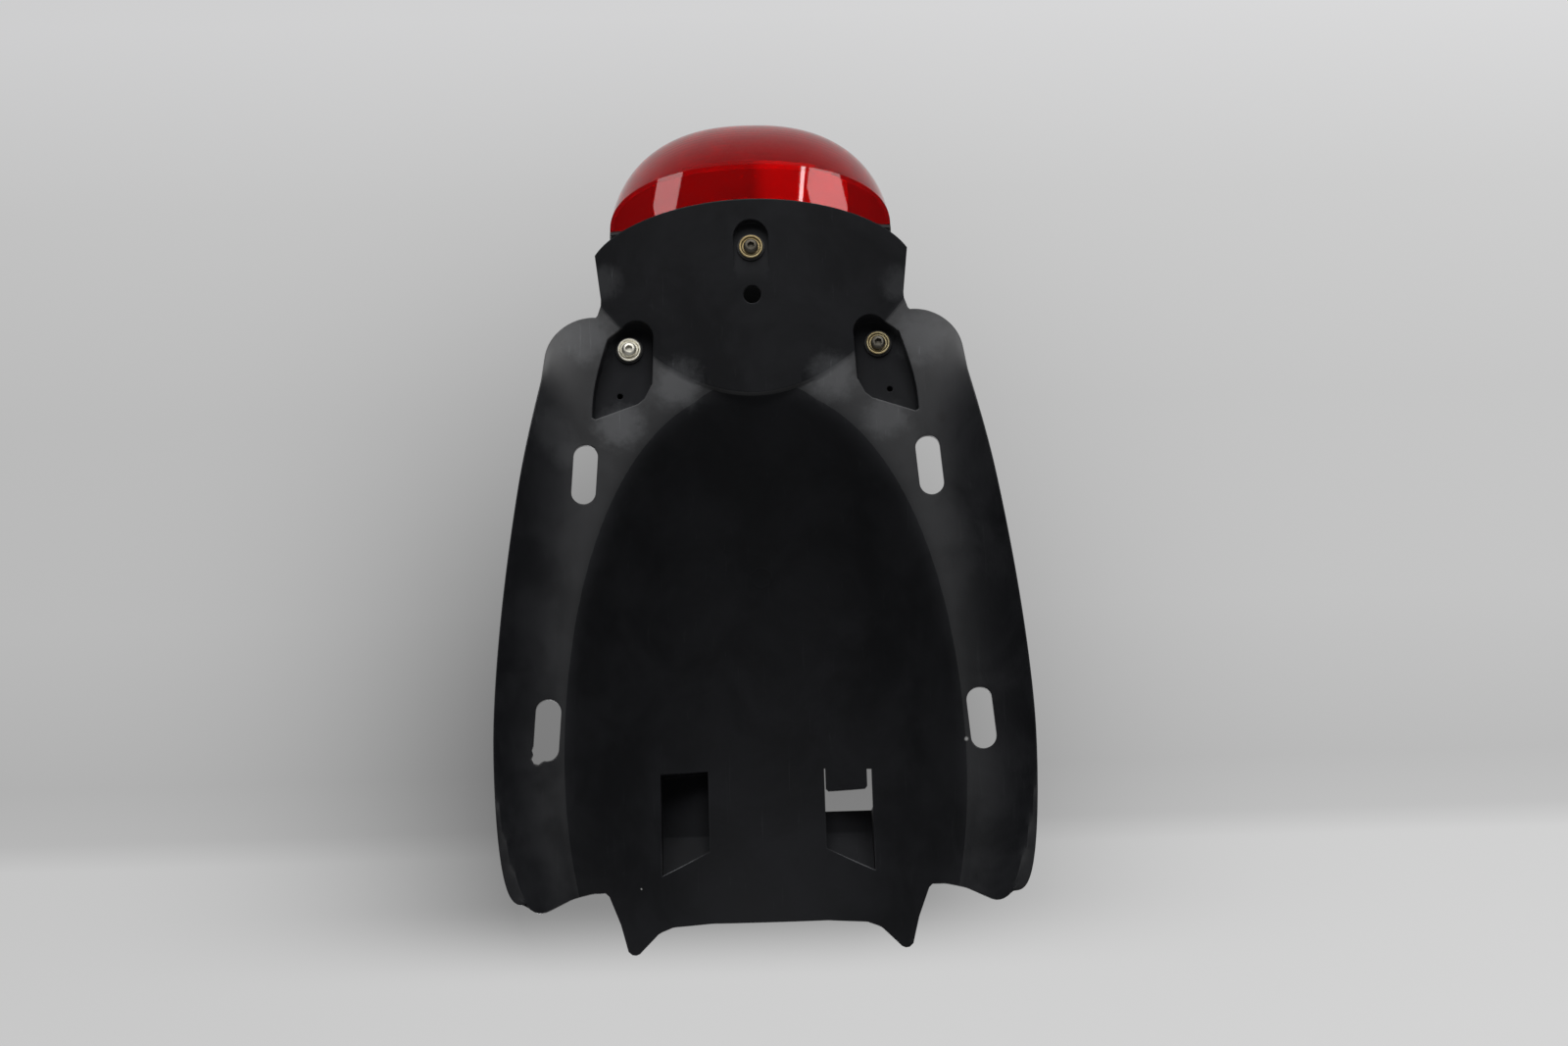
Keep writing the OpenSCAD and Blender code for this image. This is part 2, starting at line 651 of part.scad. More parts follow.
fender();
lamp_housing();
lamp_reflector();
lens_seal();
lamp_lens();
lens_screw();
cable_gland();
bulb_glass(-1);  // left_bulb_glass
bulb_glass(1);  // right_bulb_glass
bulb_cap(-1);  // left_bulb_cap
bulb_cap(1);  // right_bulb_cap
bulb_filament(-1);  // left_bulb_filament
bulb_filament(1);  // right_bulb_filament
bulb_socket(-1);  // left_bulb_socket
bulb_socket(1);  // right_bulb_socket
socket_contact(-1);  // left_socket_contact
socket_contact(1);  // right_socket_contact
grommet(rear_foot, rear_seat_z);  // rear_grommet
grommet(left_foot, front_seat_z);  // left_grommet
grommet(right_foot, front_seat_z);  // right_grommet
collar(rear_foot, rear_seat_z);  // rear_collar
collar(left_foot, front_seat_z);  // left_collar
collar(right_foot, front_seat_z);  // right_collar
lamp_screw(rear_foot, rear_seat_z);  // rear_lamp_screw
lamp_screw(left_foot, front_seat_z);  // left_lamp_screw
lamp_screw(right_foot, front_seat_z);  // right_lamp_screw
foot_insert(rear_foot, rear_seat_z);  // rear_foot_insert
foot_insert(left_foot, front_seat_z);  // left_foot_insert
foot_insert(right_foot, front_seat_z);  // right_foot_insert
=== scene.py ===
import math
import bmesh
import bpy
from mathutils import Matrix, Vector


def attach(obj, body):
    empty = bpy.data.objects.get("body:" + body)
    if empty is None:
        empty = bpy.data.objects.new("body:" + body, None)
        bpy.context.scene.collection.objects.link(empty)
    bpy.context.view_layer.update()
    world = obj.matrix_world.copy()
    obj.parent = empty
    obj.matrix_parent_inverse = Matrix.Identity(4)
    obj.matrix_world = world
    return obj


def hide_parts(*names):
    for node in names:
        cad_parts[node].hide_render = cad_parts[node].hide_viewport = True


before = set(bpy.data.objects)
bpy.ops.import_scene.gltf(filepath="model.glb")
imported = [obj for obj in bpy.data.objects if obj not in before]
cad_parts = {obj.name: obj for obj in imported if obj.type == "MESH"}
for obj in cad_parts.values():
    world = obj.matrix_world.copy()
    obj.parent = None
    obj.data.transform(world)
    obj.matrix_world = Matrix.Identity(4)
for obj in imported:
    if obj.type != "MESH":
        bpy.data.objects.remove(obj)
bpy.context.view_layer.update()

scene = bpy.context.scene
scene.view_settings.view_transform = "Standard"
collection = scene.collection

# Camera: it looks at the fender from below, nearly square to its flanges, with the lamp at the picture's top.
# Its pitch, yaw and roll are set apart from each other, so that each can be corrected alone.
pitch, yaw, roll_angle = math.radians(12), math.atan(0.01028), math.radians(1.66)
eye = Vector((0.0, 0.3063, -1.3747))
ahead = Vector((0, -math.sin(pitch), math.cos(pitch)))
across = Vector((1, 0, 0))
upwards = Vector((0, -math.cos(pitch), -math.sin(pitch)))
forward = ahead * math.cos(yaw) + across * math.sin(yaw)
sideways = across * math.cos(yaw) - ahead * math.sin(yaw)
cam_right = sideways * math.cos(roll_angle) - upwards * math.sin(roll_angle)
cam_up = sideways * math.sin(roll_angle) + upwards * math.cos(roll_angle)
cam_data = bpy.data.cameras.new("camera")
cam_data.lens = 56.25
cam_data.sensor_width = 36
camera = bpy.data.objects.new("camera", cam_data)
camera.matrix_world = Matrix((
    (cam_right.x, cam_up.x, -forward.x, eye.x),
    (cam_right.y, cam_up.y, -forward.y, eye.y),
    (cam_right.z, cam_up.z, -forward.z, eye.z),
    (0, 0, 0, 1)))
collection.objects.link(camera)
scene.camera = camera


# Fender: one injection moulding of black polypropylene with a 3 mm wall. Its wheel arch follows the tyre, its
# flanges curl down at their margins, and a bowl under the lamp slopes down from a fold to the lip. The shape is
# worked out in millimetres from the fold's middle, and settle brings it to its place in metres.
mm = 0.001
shift_y = -70.5
half_w, wall, flange_h = 153.0, 3.0, 24.0
lip_reach, wide_reach, front_reach, point_reach = 111.5, 206.0, 306.0, 18.5
rear_narrowing, front_narrowing, curl_w = 26.0, 21.0, 42.0
arch_r, arch_h, arch_w, arch_fullness, arch_least, roll = 340.0, 80.0, 224.0, 2.6, 4.0, 8.0
bowl_r, bow_half, lip_half, lip_bow = 345.0, 110.0, 93.0, 26.5
lip_slope = flange_h / lip_reach
axle_y = math.sqrt(arch_r ** 2 - (arch_r - arch_h) ** 2)


def ease(t):
    t = min(max(t, 0.0), 1.0)
    return t * t * (3 - 2 * t)


def sag(x):
    return bowl_r - math.sqrt(bowl_r ** 2 - x * x)


def fold_y(x):
    return -sag(min(abs(x), bow_half)) / lip_slope


def side_x(y):
    """Half the fender's width, which is greatest at wide_reach."""
    if y < wide_reach:
        return half_w - rear_narrowing * ((wide_reach - y) / wide_reach) ** 1.6
    return half_w - front_narrowing * ((y - wide_reach) / (front_reach - wide_reach)) ** 1.95


def crown_h(y):
    """Height of the arch's crown over the flanges, on a circle round the wheel's axle."""
    return arch_h - arch_r + math.sqrt(arch_r ** 2 - (y - axle_y) ** 2)


def arch_x(y):
    """Half the arch's width where it meets the flanges."""
    return arch_w / 2 * math.sqrt(max(crown_h(y), arch_least) / arch_h)


def skin_z(x, y):
    """Height of the underside."""
    if y <= fold_y(x):
        return flange_h + lip_slope * y + sag(x)
    crown = crown_h(y)
    rise = crown - max(crown, arch_least) * (abs(x) / arch_x(y)) ** arch_fullness
    margin = min(max(0.0, (abs(x) - side_x(y)) / curl_w + 1), 1.0)
    curl = flange_h * ease((y + 60) / 120) * margin ** 2.5
    shell = flange_h - curl + (rise + math.sqrt(rise * rise + roll * roll)) / 2
    return min(shell, flange_h + 1.2 * (y - fold_y(x)))


def skin_normal(x, y):
    d = 0.4
    n = Vector((skin_z(x - d, y) - skin_z(x + d, y), skin_z(x, y - d) - skin_z(x, y + d), 2 * d))
    return n.normalized()


def outer_z(x, y, t):
    """Height of the surface that lies t outside the underside, at a place of its own."""
    px, py = x, y
    for _ in range(4):
        n = skin_normal(px, py)
        px, py = x - t * n.x, y - t * n.y
    return skin_z(px, py) + t * n.z


def arc(cx, cy, r, start, end, steps):
    return [(cx + r * math.cos(math.radians(start + (end - start) * k / steps)),
             cy + r * math.sin(math.radians(start + (end - start) * k / steps))) for k in range(steps + 1)]


def along(points, count):
    """The polyline's points at equal distances."""
    lengths = [0.0]
    for p, q in zip(points, points[1:]):
        lengths.append(lengths[-1] + math.dist(p, q))
    out, i = [], 0
    for k in range(count + 1):
        at = lengths[-1] * k / count
        while i < len(points) - 2 and lengths[i + 1] < at:
            i += 1
        t = (at - lengths[i]) / max(lengths[i + 1] - lengths[i], 1e-9)
        out.append((points[i][0] + (points[i + 1][0] - points[i][0]) * t,
                    points[i][1] + (points[i + 1][1] - points[i][1]) * t))
    return out


# the lip's end is part of an ellipse
lip_a = lip_half + 4
lip_b = lip_bow / (1 - math.sqrt(1 - (lip_half / lip_a) ** 2))


def lip_y(x):
    return -lip_reach + lip_b * (1 - math.sqrt(max(1 - (x / lip_a) ** 2, 0)))


# half the front edge, from the middle over the point and the notch to the flange's round corner
corner_x, corner_y = side_x(front_reach - 12) - 8.5, front_reach - 12
notch_x = arch_x(front_reach) - 11
tip_x = notch_x - 14.5
front_line = [(0, front_reach), ((notch_x - 36) * 0.6, front_reach), (notch_x - 36, front_reach + 2),
              (notch_x - 28, front_reach + 5.5)]
front_line += arc(tip_x, front_reach + point_reach - 4, 4, 150, 10, 9)
front_line += [(tip_x + 7, front_reach + point_reach - 16), (notch_x, front_reach - 17),
               (notch_x + 8, front_reach - 16.2), (notch_x + 19, front_reach - 12.5)]
front_line += arc(corner_x, corner_y, 7.5, 120, 25, 6)


def front_y(x):
    x = abs(x)
    for (x0, y0), (x1, y1) in zip(front_line, front_line[1:]):
        if x1 >= x >= x0 and x1 > x0:
            return y0 + (y1 - y0) * (x - x0) / (x1 - x0)
    return front_line[-1][1]


# half the side edge, from the lip over the fold and the shoulder to the front corner
neck = lip_half - 3
shoulder_x, shoulder_y, shoulder_r = side_x(-10) - 29.8, -20, 28.5
side_rear = along([(lip_half, lip_y(lip_half)), (neck, fold_y(neck) - 3), (neck + 0.3, fold_y(neck))], 16)
side_front = [(neck + 0.3, fold_y(neck))]
side_front += arc(shoulder_x, shoulder_y, shoulder_r, -95, -8, 16)
side_front += [(side_x(y), y) for y in [-8 + (corner_y + 8) * k / 40 for k in range(41)]]
side_front.append(front_line[-1])
side_front = along(side_front, 184)
rows = side_rear[:-1] + side_front
n_rear, n_rows, n_cols = len(side_rear) - 1, len(rows) - 1, 132


def fender_place(u, row):
    """A grid point's place in plan: u runs from side to side, and rows run from the lip to the front."""
    bx, by = rows[row]
    s = abs(u)
    x = u * bx
    if row <= n_rear:
        t = row / n_rear
        blend = lip_y(x) * (1 - t) + fold_y(x) * t
        return x, blend + (by - lip_y(bx) * (1 - t) - fold_y(bx) * t) * s * s
    t = (row - n_rear) / (n_rows - n_rear)
    mid = front_reach * t
    y = mid + (by - mid) * s * s
    # the rows of the last quarter turn into the front edge
    last = ease((t - 0.72) / 0.28)
    return x, y + (front_y(x) - front_reach - (by - front_reach) * s * s) * last


def fender_grid(height):
    """A sheet of the fender's plan at the heights that height(x, y) gives."""
    bm = bmesh.new()
    bmesh.ops.create_grid(bm, x_segments=n_cols, y_segments=n_rows, size=1.0)
    for v in bm.verts:
        x, y = fender_place(v.co.x, round((v.co.y + 1) / 2 * n_rows))
        v.co = (x, y, height(x, y))
    return bm


def swept(outline, vec):
    """A block: the outline's points carried along a vector."""
    bm = bmesh.new()
    face = bm.faces.new([bm.verts.new(point) for point in outline])
    raised = bmesh.ops.extrude_face_region(bm, geom=[face])["geom"]
    bmesh.ops.translate(bm, verts=[g for g in raised if isinstance(g, bmesh.types.BMVert)], vec=vec)
    bmesh.ops.recalc_face_normals(bm, faces=bm.faces)
    return bm


def round_off(bm, edges, radius, segments=3, clamp=False):
    bmesh.ops.bevel(bm, geom=edges, offset=radius, segments=segments, profile=0.5, affect="EDGES",
                    material=-1, clamp_overlap=clamp)


def prism(outline, low, high, rounded=0.0):
    """An upright block with the outline as its plan, its top edge rounded where asked."""
    bm = swept([(x, y, low) for x, y in outline], (0, 0, high - low))
    if rounded:
        round_off(bm, [e for e in bm.edges if all(v.co.z > high - 0.01 for v in e.verts)], rounded)
    return bm


def to_object(bm, name):
    mesh = bpy.data.meshes.new(name)
    bm.to_mesh(mesh)
    bm.free()
    obj = bpy.data.objects.new(name, mesh)
    collection.objects.link(obj)
    return obj


def opened(obj):
    """The mesh of an object, taken out for more work. The object is used up."""
    bm = bmesh.new()
    bm.from_mesh(obj.data)
    bpy.data.objects.remove(obj)
    return bm


def carve(obj, block, operation="DIFFERENCE"):
    """Cuts the block from obj, or joins or intersects the two. The block is used up."""
    tool = to_object(block, "tool")
    step = obj.modifiers.new("carve", "BOOLEAN")
    step.operation, step.solver, step.object = operation, "MANIFOLD", tool
    graph = bpy.context.evaluated_depsgraph_get()
    mesh = bpy.data.meshes.new_from_object(obj.evaluated_get(graph))
    obj.modifiers.clear()
    obj.data = mesh
    bpy.data.objects.remove(tool)


shell = fender_grid(skin_z)
under, sheet = list(shell.faces), list(shell.verts)
twin = bmesh.ops.duplicate(shell, geom=sheet + list(shell.edges) + under)["vert_map"]
for v in sheet:
    twin[v].co.z = outer_z(v.co.x, v.co.y, wall)
bmesh.ops.reverse_faces(shell, faces=under)
bmesh.ops.bridge_loops(shell, edges=[e for e in shell.edges if e.is_boundary])
bmesh.ops.recalc_face_normals(shell, faces=shell.faces)
fender = to_object(shell, "fender_moulding")

# pockets for the lamp's two front feet, each with a blind hole for a cable clip, and a pad for its rear foot
foot_x, foot_y, rear_foot_y, foot_hole_r = 148.3 / 2, -30.0, -84.3, 6
seat_r, pad_l = 11.0, 15.0
pocket_x, pocket_y, pocket_z, pocket_low = foot_x + 6, foot_y + 12, flange_h + 9, 1
pad_z, pad_low = flange_h + lip_slope * (rear_foot_y + pad_l), -20
clip_x, clip_y, clip_r, clip_top, boss_r = foot_x + 6, foot_y + 28, 1.75, pocket_z + 6.5, 4


def pocket_plan(side, grow):
    """A pocket's outline, wider by grow: a round seat, a scooped side and a slanting front."""
    plan = arc(-4, -4, seat_r + grow, -176, -50, 20)
    plan += [(seat_r + 1.5 + 9.7 * math.sin(math.radians(7.5 * k)) + grow, 4 * k - 5 + (k - 6) / 12 * grow)
             for k in range(13)]
    plan += [(20.5 + 0.8 * grow, 44.2 + grow), (-5 - 0.5 * grow, 35.4 + grow),
             (-9 - 0.9 * grow, 32 + 0.7 * grow), (-13.7 - grow, 23)]
    return [(side * (foot_x + x), foot_y + y) for x, y in plan]


def pad_plan(grow):
    half = seat_r - 0.5 + grow
    return [(x, rear_foot_y + y) for x, y in arc(0, -5, half, -180, 0, 24) + [(half, pad_l), (-half, pad_l)]]


def trimmed(block, x0, x1, y0, y1):
    """The part of a block above the middle of the moulding's wall, in a field that the block lies in."""
    ground = bmesh.new()
    bmesh.ops.create_grid(ground, x_segments=40, y_segments=40, size=1.0)
    for v in ground.verts:
        x, y = x0 + (x1 - x0) * (v.co.x + 1) / 2, y0 + (y1 - y0) * (v.co.y + 1) / 2
        v.co = (x, y, skin_z(x, y) + wall / 2)
    lowered = bmesh.ops.extrude_face_region(ground, geom=list(ground.faces), use_keep_orig=True)["geom"]
    for g in lowered:
        if isinstance(g, bmesh.types.BMVert):
            g.co.z = -40
    bmesh.ops.recalc_face_normals(ground, faces=ground.faces)
    kept = to_object(block, "block")
    carve(kept, ground)
    return opened(kept)


for side in (-1, 1):
    block = prism(pocket_plan(side, wall), pocket_low, pocket_z + wall, 1.5)
    middle = side * (foot_x + 2)
    carve(fender, trimmed(block, middle - 45, middle + 45, foot_y - 40, foot_y + 70), "UNION")
    boss = prism(arc(side * clip_x, clip_y, boss_r, 0, 351, 39), pocket_z + 1, clip_top + 1.5, 0.8)
    carve(fender, boss, "UNION")
block = prism(pad_plan(wall), pad_low, pad_z + wall, 1.5)
carve(fender, trimmed(block, -20, 20, rear_foot_y - 26, rear_foot_y + 26), "UNION")

# hoods over the two windows: the left one is closed, and the right one is short, so that its rear stays open
window_in, window_out, window_rear, window_l, window_slant = 35.0, 63.0, 216.0, 47.0, 15.0
hood_z, hood_drop, hood_round = flange_h + arch_h + wall + 8, 17.0, 2.6
hood_bend, hood_end = window_rear + 37, window_rear + window_l + window_slant


def hood_block(side, x0, x1, rear, grow, low, rounded=0.0):
    """The hood's side view, carried across from x0 to x1, its upper edges rounded where asked."""
    ceiling = hood_z - wall
    profile = [(rear - grow, low), (rear - grow, ceiling + grow), (hood_bend + 0.3 * grow, ceiling + grow),
               (hood_end + grow, ceiling + 0.9 * grow - hood_drop), (hood_end + grow, low)]
    bm = swept([(side * x0, y, z) for y, z in profile], (side * (x1 - x0), 0, 0))
    if rounded:
        round_off(bm, [e for e in bm.edges if any(v.co.z > low + 1 for v in e.verts)], rounded, 4)
    return bm


for side, rear in ((-1, window_rear), (1, hood_bend - 13 + wall)):
    x0, x1 = sorted((side * (window_in - wall - 2), side * (window_out + wall + 2)))
    block = hood_block(side, window_in - wall, window_out + wall, rear, wall, 40, hood_round)
    carve(fender, trimmed(block, x0, x1, 205, hood_end + 8), "UNION")

# what is cut: the pad's and the pockets' hollows, the windows, the four slots and the holes
slot_r, slot_half, slot_turn = 7.15, 10.6, math.radians(4.3)
cut_low, cut_high = -5, 60
carve(fender, prism(pad_plan(0), pad_low, pad_z))
for side in (-1, 1):
    pocket = prism(pocket_plan(side, 0), pocket_low, pocket_z, 1.2)
    middle = side * pocket_x
    for v in pocket.verts:
        draw = 1.08 - 0.12 * (v.co.z - pocket_low) / (pocket_z - pocket_low)
        v.co.x = middle + draw * (v.co.x - middle)
        v.co.y = pocket_y + draw * (v.co.y - pocket_y)
    carve(fender, pocket)
    window = [(side * window_in, window_rear - 1), (side * window_out, window_rear + 1.5),
              (side * window_out, hood_end), (side * window_in, window_rear + window_l)]
    opening = to_object(prism(window, 40, 130), "opening")
    carve(opening, hood_block(side, window_in - 5, window_out + 5, window_rear - 2, 0, 30), "INTERSECT")
    if side > 0:
        tongue = [(35.7, 200), (60.2, 200), (60.2, window_rear + 11.5), (59, window_rear + 13),
                  (37, window_rear + 13), (35.7, window_rear + 11.5)]
        carve(opening, prism(tongue, 20, 140))
    carve(fender, opened(opening))
    turn = -side * slot_turn
    for gap, slot_y in ((202.5, 47), (249.0, 197)):
        slot = arc(0, -slot_half, slot_r, -180, 0, 20) + arc(0, slot_half, slot_r, 0, 180, 20)
        slot = [(side * gap / 2 + x * math.cos(turn) - y * math.sin(turn),
                 slot_y + x * math.sin(turn) + y * math.cos(turn)) for x, y in slot]
        carve(fender, prism(slot, cut_low, cut_high))
# the torn place at the outer front end of the left front slot
torn = [(-128, 203.5), (-132.1, 205.4), (-133.2, 208.6), (-132.5, 211), (-133.4, 213.6), (-132.2, 216.2),
        (-129.6, 216.8), (-127.9, 215.2), (-125, 214)]
carve(fender, prism(torn, cut_low, cut_high))
holes = [(x, y, foot_hole_r, cut_high) for x, y in ((0, rear_foot_y), (-foot_x, foot_y), (foot_x, foot_y))]
holes += [(0, -56.5, 5.25, cut_high), (-clip_x, clip_y, clip_r, clip_top), (clip_x, clip_y, clip_r, clip_top)]
for x, y, r, top in holes:
    carve(fender, prism(arc(x, y, r, 0, 351, 39), -20, top))


def settle(bm, name, material, node_names, sharp=0.5):
    """Brings a piece from millimetres to its place in metres, gives it its material, and hides the frame's
    nodes that it stands in for.
    """
    bmesh.ops.remove_doubles(bm, verts=bm.verts, dist=0.01)
    for f in bm.faces:
        f.smooth = True
    for e in bm.edges:
        e.smooth = len(e.link_faces) == 2 and e.calc_face_angle(0) < sharp
    for v in bm.verts:
        v.co = Vector((v.co.x, v.co.y + shift_y, v.co.z)) * mm
    piece = to_object(bm, name)
    for one in material if isinstance(material, tuple) else (material,):
        piece.data.materials.append(one)
    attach(piece, "root")
    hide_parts(*node_names)


def new_material(name):
    mat = bpy.data.materials.new(name)
    mat.use_nodes = True
    return mat, mat.node_tree.nodes["Principled BSDF"]


def new_group(name, inputs, outputs):
    """A shader node group: each input is a name, a kind and a value, and each output a name and a kind."""
    group = bpy.data.node_groups.new(name, "ShaderNodeTree")
    for label, kind, value in inputs:
        socket = group.interface.new_socket(name=label, in_out="INPUT", socket_type="NodeSocket" + kind)
        if value is not None:
            socket.default_value = value
    for label, kind in outputs:
        group.interface.new_socket(name=label, in_out="OUTPUT", socket_type="NodeSocket" + kind)
    return group, group.nodes.new("NodeGroupInput").outputs, group.nodes.new("NodeGroupOutput").inputs


def put(tree, kind, inputs=None, **settings):
    """Adds a node with its settings and with values for its inputs."""
    node = tree.nodes.new("ShaderNode" + kind)
    for key, value in settings.items():
        setattr(node, key, value)
    for key, value in (inputs or {}).items():
        node.inputs[key].default_value = value
    return node


def join(source, target):
    """Leads a constant or a node's output to an input."""
    if isinstance(source, (int, float, tuple)):
        target.default_value = source
    else:
        target.id_data.links.new(source, target)


def textured(place, kind, inputs):
    """A texture or a mapping of the given places."""
    node = put(place.id_data, kind, inputs)
    join(place, node.inputs["Vector"])
    return node


def split(vector):
    """The X, Y and Z of a vector."""
    parts = put(vector.id_data, "SeparateXYZ")
    join(vector, parts.inputs[0])
    return parts.outputs


def spread(source, low, high, to_low=0.0, to_high=1.0):
    """A value that runs smoothly from to_low to to_high as the source goes from low to high."""
    ends = {"From Min": low, "From Max": high, "To Min": to_low, "To Max": to_high}
    node = put(source.id_data, "MapRange", ends, interpolation_type="SMOOTHSTEP")
    join(source, node.inputs["Value"])
    return node.outputs["Result"]


def combined(first, second, operation="ADD", kind="Math"):
    """One value made from two, of which one may be a constant."""
    socket = second if isinstance(first, (int, float)) else first
    node = put(socket.id_data, kind, operation=operation)
    join(first, node.inputs[0])
    join(second, node.inputs[1])
    return node.outputs["Value"]


def times(first, second):
    return combined(first, second, "MULTIPLY")


def tinted(mask, under, over):
    """A colour that turns from under to over where the mask says so."""
    node = put(mask.id_data, "Mix", data_type="RGBA")
    join(mask, node.inputs[0])
    for socket, value in zip(node.inputs[6:8], (under, over)):
        join((*value, 1) if isinstance(value, tuple) else value, socket)
    return node.outputs[2]


# a moulding's grain, its cloudy sheen, the fine scratches that run along it and scattered specks
moulded_skin, given, gives = new_group(
    "moulded_skin", [("Vector", "Vector", None), ("Grain", "Float", 1100.0)],
    [("Height", "Float"), ("Cloud", "Float"), ("Scratches", "Float"), ("Specks", "Float")])
grain = textured(given["Vector"], "TexNoise", {"Detail": 3.0, "Roughness": 0.6})
join(given["Grain"], grain.inputs["Scale"])
join(grain.outputs["Fac"], gives["Height"])
cloud = textured(given["Vector"], "TexNoise",
                 {"Scale": 22.0, "Detail": 6.0, "Roughness": 0.62, "Distortion": 0.4})
join(spread(cloud.outputs["Fac"], 0.32, 0.7), gives["Cloud"])
drawn_out = textured(given["Vector"], "Mapping",
                     {"Rotation": (0.0, 0.0, 0.25), "Scale": (420.0, 26.0, 160.0)})
streaks = textured(drawn_out.outputs[0], "TexNoise",
                   {"Scale": 1.0, "Detail": 4.0, "Roughness": 0.7, "Distortion": 0.3})
join(spread(streaks.outputs["Fac"], 0.6, 0.78), gives["Scratches"])
cells = textured(given["Vector"], "TexVoronoi", {"Scale": 95.0, "Randomness": 1.0})
join(spread(cells.outputs["Distance"], 0.075, 0.03), gives["Specks"])

# one rubbed or stained place with a ragged outline
rubbed_patch, given, gives = new_group(
    "rubbed_patch", [("Vector", "Vector", None), ("Centre", "Vector", None),
                     ("Radius", "Float", 0.01), ("Ragged", "Float", 0.5)], [("Mask", "Float")])
from_centre = combined(given["Vector"], given["Centre"], "DISTANCE", "VectorMath")
share = combined(from_centre, given["Radius"], "DIVIDE")
ragged = textured(given["Vector"], "TexNoise", {"Scale": 120.0, "Detail": 7.0, "Roughness": 0.68})
wobble = times(combined(ragged.outputs["Fac"], 0.5, "SUBTRACT"), given["Ragged"])
join(spread(combined(share, wobble), 1.0, 0.25), gives["Mask"])


def patches(place, spots, ragged):
    """The greatest of the masks of some rubbed places, each with its centre, its radius and its strength."""
    total = 0.0
    for centre, radius, strength in spots:
        values = {"Centre": centre, "Radius": radius, "Ragged": ragged}
        patch = put(place.id_data, "Group", values, node_tree=rubbed_patch)
        join(place, patch.inputs["Vector"])
        total = combined(times(patch.outputs["Mask"], strength), total, "MAXIMUM")
    return total


def skinned(name, grain_scale):
    """A material with a moulded skin: itself, its shader, the places on its piece and the skin's outputs."""
    mat, shader = new_material(name)
    place = put(shader.id_data, "TexCoord").outputs["Object"]
    skin = put(shader.id_data, "Group", {"Grain": grain_scale}, node_tree=moulded_skin)
    join(place, skin.inputs["Vector"])
    return mat, shader, place, skin.outputs


def emboss(shader, relief, strength, depth):
    """Gives the shader's surface a relief, and returns the inputs of the node that does it."""
    bump = put(shader.id_data, "Bump", {"Strength": strength, "Distance": depth})
    join(relief, bump.inputs["Height"])
    join(bump.outputs[0], shader.inputs["Normal"])
    return bump.inputs


